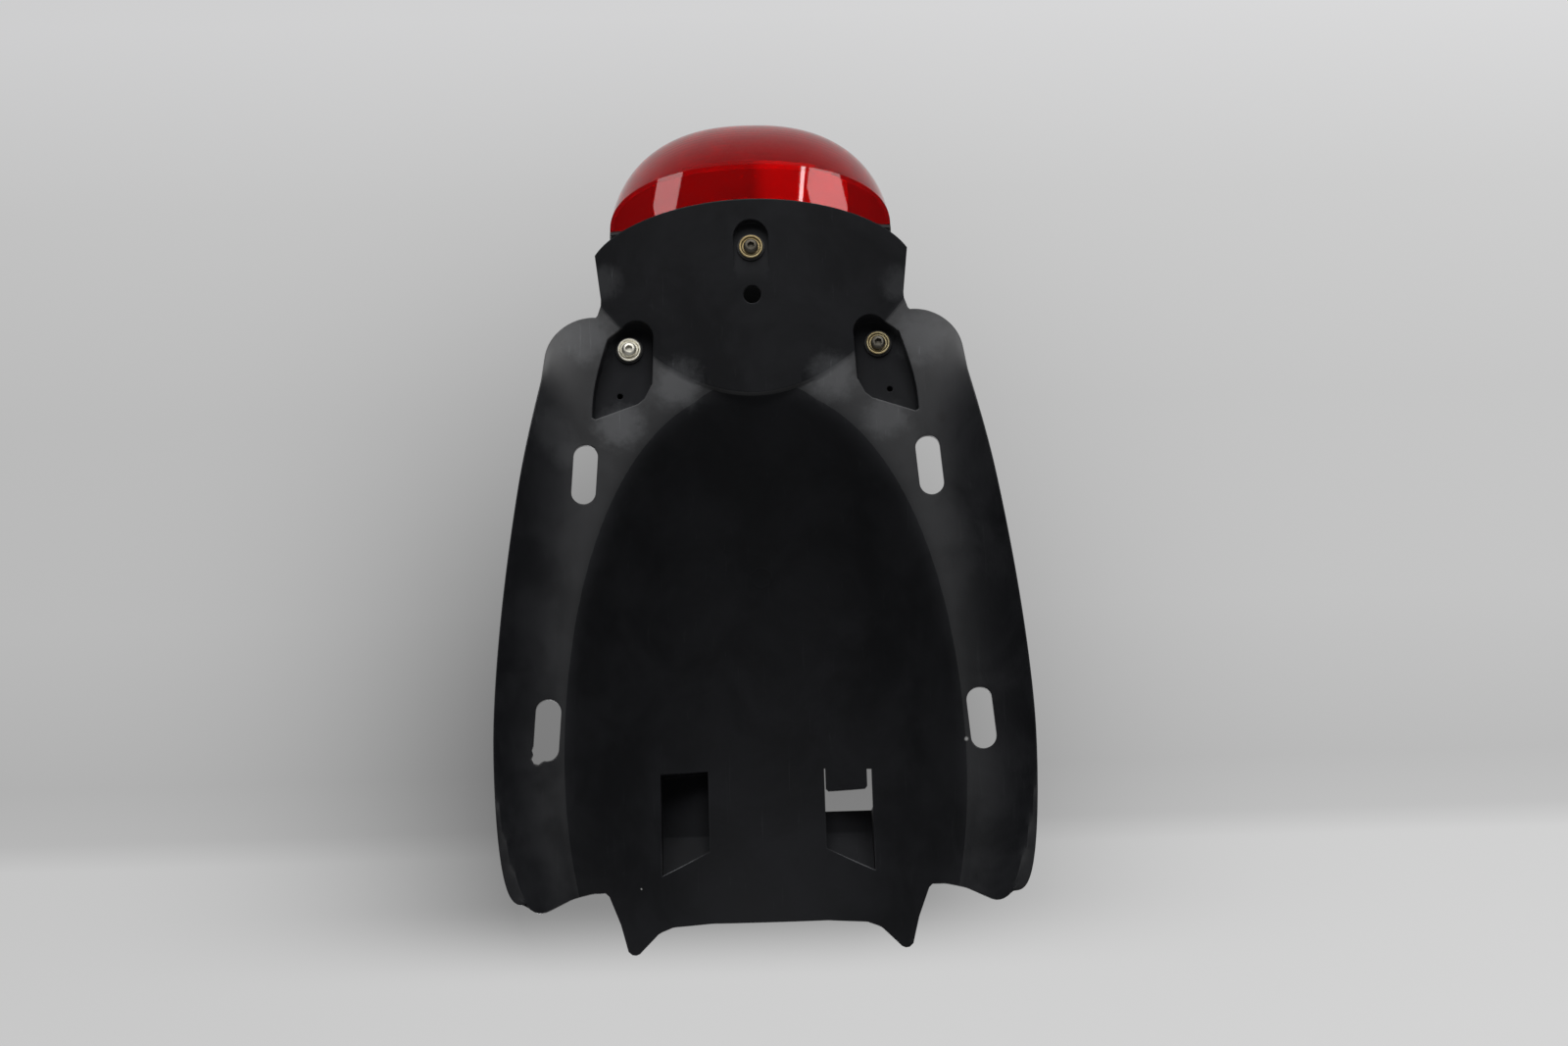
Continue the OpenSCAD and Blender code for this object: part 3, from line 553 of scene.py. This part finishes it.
# the moulding's black in two finishes, whose reflections differ in strength
blacks = []
for finish, gloss in (("fender_satin", 0.5), ("fender_matt", 0.2)):
    black, shader, place, skin = skinned(finish, 1300.0)
    blacks.append(black)
    shader.inputs["Specular IOR Level"].default_value = gloss
    rubbed = patches(place, [
        ((-0.0804, -0.0545, 0.0245), 0.02, 0.6), ((-0.0455, -0.0768, 0.0249), 0.02, 0.55),
        ((0.0455, -0.0784, 0.0248), 0.019, 0.5), ((0.0773, -0.0534, 0.0246), 0.018, 0.45),
        ((-0.1, -0.1065, 0.0238), 0.022, 0.5), ((0.099, -0.1015, 0.0237), 0.022, 0.45),
        ((-0.0875, -0.139, 0.0205), 0.014, 0.3), ((0.0868, -0.134, 0.0214), 0.014, 0.3),
        ((-0.1125, -0.036, 0.021), 0.013, 0.25), ((-0.1195, -0.0481, 0.016), 0.02, 0.2)], 1.0)
    torn_rim = ((-0.131, 0.1435, 0.022), 0.0045, 0.3)
    slot_burr = ((0.1155, 0.1382, 0.0258), 0.0016, 0.8)
    torn_white = patches(place, [torn_rim, slot_burr], 1.1)
    dark_spot = patches(place, [((0.1088, -0.0515, 0.021), 0.0042, 1.0)], 0.6)
    near_point = patches(place, [((-0.0797, 0.2087, 0.0645), 0.022, 1.0)], 0.4)
    # the places of a painted highlight on the slanted edges before the windows
    window_edge_highlight = patches(place, [((-0.049, 0.2, 0.08), 0.024, 1.0), ((0.049, 0.2, 0.08), 0.024, 1.0)], 0.2)
    # an edge is where the normal of a rounded surface leaves the true one
    rounded = put(shader.id_data, "Bevel", {"Radius": 0.0011}, samples=4).outputs[0]
    normal = put(shader.id_data, "NewGeometry").outputs["Normal"]
    edge = spread(combined(rounded, normal, "DOT_PRODUCT", "VectorMath"), 0.985, 0.84)
    wear_and_highlight = times(times(rubbed, skin["Scratches"]), 0.55)
    wear_and_highlight = combined(wear_and_highlight, times(rubbed, 0.42))
    wear_and_highlight = combined(wear_and_highlight, times(skin["Scratches"], 0.035))
    wear_and_highlight = combined(wear_and_highlight, times(edge, 0.06))
    # the rounded edges are a little lighter, and those before the windows get a painted highlight
    wear_and_highlight = combined(wear_and_highlight, times(times(edge, window_edge_highlight), 0.9))
    colour = tinted(skin["Cloud"], (0.0046, 0.005, 0.0062), (0.0105, 0.011, 0.013))
    colour = tinted(wear_and_highlight, colour, (0.2, 0.205, 0.215))
    pale = combined(torn_white, times(skin["Specks"], near_point), "MAXIMUM")
    colour = tinted(pale, colour, (0.45, 0.45, 0.44))
    colour = tinted(dark_spot, colour, (0.004, 0.004, 0.005))
    join(colour, shader.inputs["Base Color"])
    # the underside is matt inside the arch and half matt in the bowl, and the flanges are satin
    x, y, z = split(place)
    below = spread(split(normal)[2], 0.1, -0.1)
    in_arch = times(spread(z, 0.0238, 0.0275), below)
    fold_bow = combined(times(x, x), 0.1485, "DIVIDE")
    past_fold = combined(combined(y, -shift_y * mm), fold_bow)
    in_bowl = times(spread(past_fold, 0.0003, -0.0012), below)
    matt = combined(in_arch, times(in_bowl, 0.55), "MAXIMUM")
    sheen = combined(spread(skin["Cloud"], 0.0, 1.0, 0.4, 0.48), times(matt, 0.35))
    join(combined(sheen, times(wear_and_highlight, 0.25)), shader.inputs["Roughness"])
    # the mould's round ejector mark in the crown of the arch
    away = combined(place, (0.0006, 0.0303, 0.083), "DISTANCE", "VectorMath")
    ring = times(spread(away, 0.0052, 0.0058), spread(away, 0.007, 0.0064))
    relief = combined(skin["Height"], times(ring, 2.5))
    relief = combined(relief, times(skin["Scratches"], 0.35))
    join(rounded, emboss(shader, relief, 0.35, 0.00012)["Normal"])

# the faces that look down or inward in the arch, the bowl and the hollows are matt, and the others are satin
arch_foot_z, steep = 26, 0.15
bm = opened(fender)
bmesh.ops.remove_doubles(bm, verts=bm.verts, dist=0.12)
bmesh.ops.bisect_plane(bm, geom=[*bm.verts, *bm.edges, *bm.faces], dist=1e-3, plane_co=(0, 0, arch_foot_z),
                       plane_no=(0, 0, 1))
hollows = [(side * x, y) for side in (-1, 1) for x, y in ((pocket_x, pocket_y), (49, 240))]
for f in bm.faces:
    c, n = f.calc_center_median(), f.normal
    near = min(hollows, key=lambda m: math.dist(m, (c.x, c.y)))
    inward = n.x * (c.x - near[0]) + n.y * (c.y - near[1]) < 0
    inside = n.z < -steep or abs(n.z) <= steep and inward
    in_bowl = c.y < fold_y(c.x) and abs(c.x) < lip_half + 2
    f.material_index = 1 if inside and (in_bowl or c.z > arch_foot_z) else 0
settle(bm, "fender_moulding", tuple(blacks), ["fender"])

# Grommets: three rings of black rubber, snapped into the moulding's holes, that keep the lamp from shaking.
# Each has a lip under the moulding and a thicker one above it.
rubber, shader, _, skin = skinned("rubber_black", 1900.0)
dusty = times(skin["Cloud"], 0.25)
join(tinted(dusty, (0.009, 0.009, 0.01), (0.05, 0.05, 0.052)), shader.inputs["Base Color"])
join(spread(skin["Cloud"], 0.0, 1.0, 0.55, 0.75), shader.inputs["Roughness"])
emboss(shader, skin["Height"], 0.3, 0.0001)


def turned(profile, centre, steps=72, lies=False):
    """A turned piece: a profile of radii and heights, swept round an axis that stands up or lies rearwards."""
    bm = bmesh.new()
    line = [bm.verts.new((r, 0, z)) for r, z in profile]
    pairs = [pair for pair in zip(line, line[1:] + line[:1]) if pair[0].co.x + pair[1].co.x > 1e-6]
    edges = [bm.edges.new(pair) for pair in pairs]
    bmesh.ops.spin(bm, geom=line + edges, cent=(0, 0, 0), axis=(0, 0, 1), angle=math.tau, steps=steps,
                   use_merge=True)
    bmesh.ops.remove_doubles(bm, verts=bm.verts, dist=1e-3)
    bmesh.ops.recalc_face_normals(bm, faces=bm.faces)
    if lies:
        quarter = Matrix.Rotation(math.radians(90), 3, "X")
        bmesh.ops.rotate(bm, verts=bm.verts, cent=(0, 0, 0), matrix=quarter)
    bmesh.ops.translate(bm, verts=bm.verts, vec=centre)
    return bm


feet = (("rear", 0, rear_foot_y, pad_z), ("left", -foot_x, foot_y, pocket_z),
        ("right", foot_x, foot_y, pocket_z))
grommet_line = [(4.35, -1.5), (7.5, -1.5), (7.95, -1.3), (8.15, -0.9), (8.15, 0), (5.85, 0), (5.85, 3),
                (8.2, 3), (8.5, 3.4), (8.5, 4.9), (8.2, 5.4), (7.7, 5.5), (4.35, 5.5)]
for where, x, y, z in feet:
    grommet = turned(grommet_line, (x, y, z))
    settle(grommet, f"{where}_foot_grommet", rubber, [f"{where}_grommet"])

# Collars: three flanged steel spacers with a yellow zinc coat, which keep the screws from crushing the rubber.
# Their flanges are dished and have a rolled rim. The left one is cleaner than the others.
yellow, shader, place, skin = skinned("zinc_yellow", 900.0)
shader.inputs["Metallic"].default_value = 1.0
stained = tinted(skin["Cloud"], (0.62, 0.56, 0.36), (0.3, 0.22, 0.1))
stained = tinted(times(skin["Specks"], 0.8), stained, (0.1, 0.06, 0.03))
cleaner = patches(place, [((-0.0742, -0.1005, 0.031), 0.02, 1.0)], 0.2)
join(tinted(cleaner, stained, (0.86, 0.83, 0.72)), shader.inputs["Base Color"])
join(spread(skin["Cloud"], 0.0, 1.0, 0.3, 0.52), shader.inputs["Roughness"])
emboss(shader, skin["Height"], 0.25, 0.0001)
collar_line = [(2.8, -2.1), (5.1, -2.1), (5.6, -2.6), (6.1, -2.95), (6.6, -2.95), (7.0, -2.7), (7.15, -2.3),
               (7.1, -1.7), (6.9, -1.5), (4.2, -1.5), (4.2, 5.5), (2.8, 5.5)]
for where, x, y, z in feet:
    settle(turned(collar_line, (x, y, z)), f"{where}_foot_collar", yellow, [f"{where}_collar"])

# Lamp screws: three steel screws with a low round head and a hexagon socket, dull and a little dirty.
# They are driven up through the collars into the lamp's feet. The left one is cleaner than the others.
steel, shader, place, skin = skinned("zinc_dull", 1200.0)
shader.inputs["Metallic"].default_value = 1.0
stained = tinted(skin["Cloud"], (0.22, 0.21, 0.18), (0.08, 0.07, 0.055))
cleaner = patches(place, [((-0.0742, -0.1005, 0.028), 0.016, 1.0)], 0.2)
join(tinted(cleaner, stained, (0.7, 0.68, 0.6)), shader.inputs["Base Color"])
join(spread(skin["Cloud"], 0.0, 1.0, 0.35, 0.6), shader.inputs["Roughness"])
emboss(shader, skin["Height"], 0.3, 0.0001)
screw_line = [(0, -5.0), (2.7, -5.0), (3.5, -4.7), (4.1, -4.1), (4.4, -3.3), (4.5, -2.1), (2.5, -2.1),
              (2.5, 13.1), (2.1, 13.5), (0, 13.5)]
socket_r, socket_top = 2.3, -3.0
for where, x, y, z in feet:
    screw = to_object(turned(screw_line, (x, y, z)), "screw")
    hexagon = [(x + px, y + py) for px, py in arc(0, 0, socket_r, 20, 320, 5)]
    carve(screw, prism(hexagon, z - 8, z + socket_top))
    settle(opened(screw), f"{where}_foot_screw", steel, [f"{where}_lamp_screw"])

# Lamp housing: a black injection moulding that stands over the bowl on three feet and holds all of the lamp.
# Its section is the lens's own at the joint, and it tapers to a low round nose.
lamp_half, lens_mid, lamp_low, lamp_top = 86.0, 70.0, pad_z + 5.5, 114.1
lens_front, lens_l, lens_flat = -102.0, 81.25, 36.5
joint_y, nose_y, nose_round, nose_h = -98.0, -14.0, 26.0, 22.0
ramp_y, floor_y, floor_z = -74.3, -55.0, pocket_z + 5.5


def lamp_width(r):
    """Half the lamp's width at a level: 1 is its underside, 0 its widest place and -1 its top."""
    return lamp_half - 2 * r * r if r > 0 else lamp_half * max(1 - (-r) ** 3.4, 0) ** (1 / 3.4)


def lamp_level(x, r, g):
    """Height of a level in a skin that lies g inside, which follows the bowl below the widest place."""
    if r > 0:
        return lens_mid - r * (lens_mid - lamp_low - g) + r * sag(x)
    return lens_mid - r * (lamp_top - lens_mid - g)


over_the_top = [math.sin(math.radians(90 * k / 22)) ** (2 / 3.0) for k in range(1, 23)]
side_line = [(lamp_width(r), r) for r in [1 - k / 12 for k in range(13)] + [-t for t in over_the_top]]
section = [(x, lamp_level(x, 1, 0)) for x in [lamp_width(1) * k / 30 for k in range(-30, 30)]]
section += [(x, lamp_level(x, r, 0)) for x, r in side_line]
section += [(-x, lamp_level(x, r, 0)) for x, r in reversed(side_line[1:-1])]
housing = to_object(swept([(x, joint_y, z) for x, z in section], (0, nose_y - joint_y, 0)), "housing")
side_view = [(joint_y - 2, 0), (ramp_y, lamp_low - 3), (ramp_y, lamp_low), (floor_y, floor_z),
             (nose_y, floor_z), (nose_y, floor_z + nose_h - 6)]
side_view += arc(nose_y - 13, floor_z + nose_h - 4, 13, 8, 55, 6)
side_view += [(joint_y + 24, lamp_top - 6.5), (joint_y + 16, lamp_top - 1.6), (joint_y + 8, lamp_top + 0.2),
              (joint_y - 2, lamp_top + 5)]
carve(housing, swept([(-200, y, z) for y, z in side_view], (400, 0, 0)), "INTERSECT")
plan = arc(lamp_half - nose_round, nose_y - nose_round, nose_round, 0, 90, 16)
plan += arc(nose_round - lamp_half, nose_y - nose_round, nose_round, 90, 180, 16)
plan += [(-lamp_half, -200), (lamp_half, -200)]
carve(housing, prism(plan, 0, 200), "INTERSECT")
bm = opened(housing)
bmesh.ops.remove_doubles(bm, verts=bm.verts, dist=0.05)
bmesh.ops.dissolve_limit(bm, angle_limit=0.02, verts=bm.verts, edges=bm.edges)
sharp_angle, shortest, rim_round = 0.32, 0.4, 2.2
rims = [e for e in bm.edges if len(e.link_faces) == 2 and e.calc_face_angle(0) > sharp_angle
        and e.calc_length() > shortest and max(v.co.y for v in e.verts) > joint_y + 0.1]
round_off(bm, rims, rim_round, clamp=True)

housing_black, shader, _, skin = skinned("housing_black", 800.0)
dusty = combined(times(skin["Cloud"], 0.1), times(skin["Scratches"], 0.06))
join(tinted(dusty, (0.011, 0.011, 0.012), (0.14, 0.14, 0.145)), shader.inputs["Base Color"])
join(spread(skin["Cloud"], 0.0, 1.0, 0.42, 0.56), shader.inputs["Roughness"])
emboss(shader, skin["Height"], 0.4, 0.00015)
settle(bm, "lamp_back_housing", housing_black, ["lamp_housing"], 0.45)


# Cable gland: a black rubber bush, pressed into the housing's floor, through which the lamp's cable leaves.
# Its shape is the frame's own, as are those of the pieces inside the lamp.
def dress(material, *names):
    """Gives nodes of the frame, whose shape is right as it is, their material."""
    for name in names:
        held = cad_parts[name]
        held.data.materials.clear()
        held.data.materials.append(material)


dress(rubber, "cable_gland")

# Reflector: one moulded plate with two dishes, coated with bright metal in a vacuum.
# The plate's rim has no coat and stays black.
mirror, shader, place, skin = skinned("mirror_coat", 500.0)
normal = put(shader.id_data, "NewGeometry").outputs["Normal"]
at_side = spread(combined(split(normal)[1], 0.0, "ABSOLUTE"), 0.5, 0.3)
in_plate = spread(split(place)[1], -0.1684, -0.1686)
bare_rim = times(at_side, in_plate)
join(tinted(bare_rim, (0.86, 0.86, 0.85), (0.01, 0.01, 0.01)), shader.inputs["Base Color"])
join(spread(bare_rim, 0.0, 1.0, 1.0, 0.0), shader.inputs["Metallic"])
join(spread(skin["Cloud"], 0.0, 1.0, 0.06, 0.14), shader.inputs["Roughness"])
dress(mirror, "lamp_reflector")

# Bulb sockets and contacts: plain moulded bushes behind the dishes, each with a brass contact at its end.
# The bulbs' caps and the inserts in the housing's feet are of the same brass.
dress(housing_black, "left_bulb_socket", "right_bulb_socket")
brass, shader, _, skin = skinned("brass_plain", 700.0)
shader.inputs["Metallic"].default_value = 1.0
join(tinted(skin["Cloud"], (0.72, 0.53, 0.22), (0.5, 0.34, 0.13)), shader.inputs["Base Color"])
join(spread(skin["Cloud"], 0.0, 1.0, 0.22, 0.4), shader.inputs["Roughness"])
dress(brass, "left_socket_contact", "right_socket_contact", "left_bulb_cap", "right_bulb_cap",
      "rear_foot_insert", "left_foot_insert", "right_foot_insert")

# Bulbs: two envelopes of clear glass, blown thin, with a brass cap and a coiled wire between two posts.
# They sit in their sockets and stand out into the dishes.
bulb_clear, shader, _, skin = skinned("bulb_clear", 300.0)
shader.inputs["Transmission Weight"].default_value = 1.0
join(tinted(skin["Cloud"], (0.98, 0.98, 0.97), (0.94, 0.94, 0.93)), shader.inputs["Base Color"])
join(spread(skin["Cloud"], 0.0, 1.0, 0.0, 0.04), shader.inputs["Roughness"])
dress(bulb_clear, "left_bulb_glass", "right_bulb_glass")
dress(steel, "left_bulb_filament", "right_bulb_filament")

# Lens seal: a cord of black rubber that lies in the joint between the lens and the housing.
# The lens screw presses the joint together, and the seal keeps water out.
dress(rubber, "lens_seal")

# Lens: a shell of clear red plastic, moulded in one piece and polished outside. Inside, its floor has optic
# ribs at both ends, and the rest is frosted and has fine ribs.
red_outer, shader, _, skin = skinned("red_clear", 260.0)
shader.inputs["Transmission Weight"].default_value = 1.0
shader.inputs["IOR"].default_value = 1.49
join(tinted(skin["Cloud"], (0.98, 0.014, 0.022), (0.94, 0.01, 0.016)), shader.inputs["Base Color"])
haze = combined(times(skin["Cloud"], 0.02), times(skin["Scratches"], 0.05))
join(combined(haze, 0.015), shader.inputs["Roughness"])

inner_reds = []
for name, clearness, under, over, rough, rib_pitch in (
        ("red_ribbed", 0.25, (0.98, 0.011, 0.018), (0.9, 0.009, 0.014), 0.03, 0.0024),
        ("red_frosted", 0.5, (0.46, 0.01, 0.018), (0.4, 0.008, 0.014), 0.4, 0.003)):
    red_inner, shader, place, skin = skinned(name, 400.0)
    x, _, z = split(place)
    off_middle = combined(x, 0.0, "ABSOLUTE")
    shader.inputs["Transmission Weight"].default_value = clearness
    shader.inputs["IOR"].default_value = 1.49
    red = tinted(skin["Cloud"], under, over)
    if name == "red_ribbed":
        # the left half is darker, a painted shade, and the ribbed ends are a lighter orange red, painted light
        red = tinted(spread(x, 0.012, 0.0), red, (0.5, 0.006, 0.01))
        red = tinted(spread(off_middle, 0.06, 0.066), red, (1.0, 0.03, 0.025))
        counted, rib_height = x, spread(off_middle, 0.058, 0.06)
    else:
        counted, rib_height = z, 0.07
    join(red, shader.inputs["Base Color"])
    join(spread(skin["Cloud"], 0.0, 1.0, rough, rough * 1.3), shader.inputs["Roughness"])
    wave = put(shader.id_data, "Math", operation="SINE")
    join(times(counted, math.tau / rib_pitch), wave.inputs[0])
    emboss(shader, times(wave.outputs[0], rib_height), 0.8, 0.0006)
    inner_reds.append(red_inner)

lens_wall, ribs_top_z, lens_roundness = 2.4, 22, 2.35
cap_shares = [k / 8 for k in range(8)] + [0.93, 0.97, 1.0]
wall_levels = [0.992, 0.98, 0.96] + [0.93 - 0.93 * k / 16 for k in range(17)] + [-t for t in over_the_top]
n_across, n_up = 150, len(cap_shares) - 1 + len(wall_levels)


def lens_point(k, row, g):
    """A point of a skin that lies g inside the lens's outside. Columns run round it from right to left, and
    rows run up from the joint's lower edge."""
    turn_at = math.pi * k / n_across
    r = 1.0 if row < len(cap_shares) else wall_levels[row - len(cap_shares)]
    swing = abs(math.sin(turn_at)) ** (2 / lens_roundness)
    if r > 0:
        length = lens_flat + (lens_l - lens_flat) * (1 - r ** 1.7)
    else:
        length = lens_l * max(1 - (-r) ** 2.6, 0) ** (1 / 2.6)
    share = cap_shares[row] if row < len(cap_shares) else 1.0
    half = max(lamp_width(r) - g, 0)
    x = half * math.copysign(abs(math.cos(turn_at)) ** (2 / lens_roundness), math.cos(turn_at))
    return x, lens_front - max(length - g, 0) * swing * share, lamp_level(x, r, g)


shell = bmesh.new()
bmesh.ops.create_grid(shell, x_segments=n_across, y_segments=n_up, size=1.0)
outside = {v: (round((v.co.x + 1) / 2 * n_across), round((v.co.y + 1) / 2 * n_up)) for v in shell.verts}
outer_faces = list(shell.faces)
twin = bmesh.ops.duplicate(shell, geom=list(outside) + list(shell.edges) + outer_faces)["vert_map"]
for v, (k, row) in outside.items():
    v.co = lens_point(k, row, 0)
    twin[v].co = lens_point(k, row, lens_wall)
for f in set(shell.faces) - set(outer_faces):
    f.material_index = 2 if f.calc_center_median().z > ribs_top_z else 1
bmesh.ops.remove_doubles(shell, verts=shell.verts, dist=0.004)
bmesh.ops.bridge_loops(shell, edges=[e for e in shell.edges if e.is_boundary])
bmesh.ops.recalc_face_normals(shell, faces=shell.faces)
lens = to_object(shell, "lens")
for one in (red_outer, *inner_reds):
    lens.data.materials.append(one)


def bar(radius, start, stop):
    """A round bar along the lamp's axis."""
    bm = bmesh.new()
    bmesh.ops.create_cone(bm, cap_ends=True, segments=48, radius1=radius, radius2=radius, depth=stop - start)
    bmesh.ops.rotate(bm, verts=bm.verts, cent=(0, 0, 0), matrix=Matrix.Rotation(math.radians(90), 3, "X"))
    bmesh.ops.translate(bm, verts=bm.verts, vec=(0, (start + stop) / 2, lens_mid))
    return bm


# the screw's tube, the recess for its head and its hole
carve(lens, bar(6.5, -182, -149.5), "UNION")
carve(lens, bar(4.5, -190, -172.5))
carve(lens, bar(2.3, -190, -140))
settle(opened(lens), "lamp_red_lens", (red_outer, *inner_reds), ["lamp_lens"], 0.45)

# Lens screw: one steel screw with a flat head and a cross in it, sunk in the recess at the lens's tail.
# It goes through the lens's tube and holds the lens on the lamp.
head_y, cross_turn = 172.1, 20
head_line = [(0, head_y), (2.9, head_y), (3.5, 171.8), (3.75, 171.2), (3.75, 169.7), (2.0, 169.5),
             (2.0, 135.9), (1.6, 135.5), (0, 135.5)]
screw = to_object(turned(head_line, (0, 0, lens_mid), 48, True), "screw")
for turn_by in (0, 90):
    blade = bmesh.new()
    bmesh.ops.create_cube(blade, size=1.0)
    bmesh.ops.scale(blade, verts=blade.verts, vec=(4.4, 4.0, 1.0))
    turn = Matrix.Rotation(math.radians(turn_by + cross_turn), 3, "Y")
    bmesh.ops.rotate(blade, verts=blade.verts, cent=(0, 0, 0), matrix=turn)
    bmesh.ops.translate(blade, verts=blade.verts, vec=(0, -head_y - 0.3, lens_mid))
    carve(screw, blade)
settle(opened(screw), "lens_fixing_screw", steel, ["lens_screw"])


# Stage: a pale floor that only the camera sees, and only from above, and a pale room round the object. Plain
# lamps light it: a wide one and three small windows before the underside, and two over the top.
def mixed(mask, under, over):
    """A shader that turns from under to over where the mask says so."""
    mix = put(mask.id_data, "MixShader")
    for socket, source in zip(mix.inputs, (mask, under, over)):
        join(source, socket)
    return mix.outputs[0]


floor_mesh = bmesh.new()
bmesh.ops.create_grid(floor_mesh, x_segments=1, y_segments=1, size=4.0)
floor = to_object(floor_mesh, "floor")
floor_pale, shader = new_material("floor_pale")
shader.inputs["Base Color"].default_value = (0.62, 0.62, 0.61, 1)
shader.inputs["Roughness"].default_value = 0.8
tree = shader.id_data
not_camera = combined(1.0, put(tree, "LightPath").outputs["Is Camera Ray"], "SUBTRACT")
unseen = combined(put(tree, "NewGeometry").outputs["Backfacing"], not_camera, "MAXIMUM")
clear = put(tree, "BsdfTransparent")
join(mixed(unseen, shader.outputs[0], clear.outputs[0]), tree.nodes["Material Output"].inputs["Surface"])
floor.data.materials.append(floor_pale)

world = bpy.data.worlds.new("studio")
scene.world = world
world.use_nodes = True
tree = world.node_tree
x, y, z = split(put(tree, "TexCoord").outputs["Generated"])
room = tree.nodes["Background"]
bright = combined(spread(z, -0.1, 0.6), spread(y, 0.1, 0.8, 0.0, 0.7), "MAXIMUM")
join(tinted(bright, (0.05, 0.05, 0.053), (0.6, 0.6, 0.6)), room.inputs["Color"])
# the wall behind the object and the floor before it, as the camera sees them when it looks up at the
# underside, with painted light that falls off down the wall and the object's soft shadow painted on them
up_wall, along_wall = combined(y, z, "DIVIDE"), combined(x, z, "DIVIDE")
# painted light: the wall is palest at its top and darkest just above the evenly pale floor
painted_wall_light = put(tree, "ValToRGB")
ramp = put(tree, "MapRange", {"From Min": -0.44, "From Max": 0.0})
join(up_wall, ramp.inputs["Value"])
join(ramp.outputs["Result"], painted_wall_light.inputs[0])
stops = painted_wall_light.color_ramp.elements
for at, value in ((0.19, 0.58), (0.4, 0.53), (0.6, 0.52), (0.75, 0.47), (0.8, 0.5), (0.825, 0.6)):
    stops.new(at).color = (value, value, value, 1)
stops[0].color = (0.66, 0.66, 0.665, 1)
stops[-1].color = (0.62, 0.62, 0.62, 1)


def hump(source, middle, width):
    """A bell-shaped value round a middle."""
    share = combined(combined(source, middle, "SUBTRACT"), width, "DIVIDE")
    return combined(math.e, times(times(share, share), -1.0), "POWER")


# the object's soft shadow, painted round it on the wall and fading out on the floor
painted_shadow = times(times(hump(along_wall, -0.03, 0.1225), hump(up_wall, -0.1, 0.16)), 0.89)
painted_shadow = times(combined(painted_shadow, 0.58, "MINIMUM"), spread(up_wall, -0.025, -0.06))
# painted light: the wall and the floor grow lighter to the right
painted_side_light = combined(times(along_wall, 0.2), 1.0)
wall_seen = put(tree, "VectorMath", operation="SCALE")
join(painted_wall_light.outputs[0], wall_seen.inputs[0])
join(times(combined(1.0, painted_shadow, "SUBTRACT"), painted_side_light), wall_seen.inputs["Scale"])
seen = put(tree, "Background")
join(tinted(spread(z, 0.8, 0.86), (0.62, 0.62, 0.62), wall_seen.outputs[0]), seen.inputs["Color"])
from_camera = put(tree, "LightPath").outputs["Is Camera Ray"]
join(mixed(from_camera, room.outputs[0], seen.outputs[0]), tree.nodes["World Output"].inputs["Surface"])


def area_lamp(name, place, aim, size, power):
    data = bpy.data.lights.new(name, "AREA")
    data.shape, data.size, data.size_y, data.energy = "RECTANGLE", size[0], size[1], power
    lamp = bpy.data.objects.new(name, data)
    lamp.location = place
    lamp.rotation_euler = (Vector(aim) - Vector(place)).to_track_quat("-Z", "Y").to_euler()
    collection.objects.link(lamp)


area_lamp("ceiling_light", (0, -1.35, -0.95), (0, -0.1, 0.03), (1.7, 1.4), 34)
area_lamp("window_left", (-0.49, -0.71, -1.33), (-0.05, -0.19, 0.02), (0.17, 0.1), 0.2)
area_lamp("window_right", (0.47, -0.69, -1.33), (0.05, -0.19, 0.02), (0.2, 0.15), 0.38)
area_lamp("window_strip", (0.32, -0.705, -1.33), (0.05, -0.19, 0.02), (0.02, 0.12), 0.1)
area_lamp("lamp_above", (-0.9, 0.8, 1.6), (0, 0, 0.05), (1.2, 1.2), 18)
area_lamp("lamp_above_front", (1.2, 1.2, 1.2), (0, 0, 0.05), (1.0, 1.0), 9)
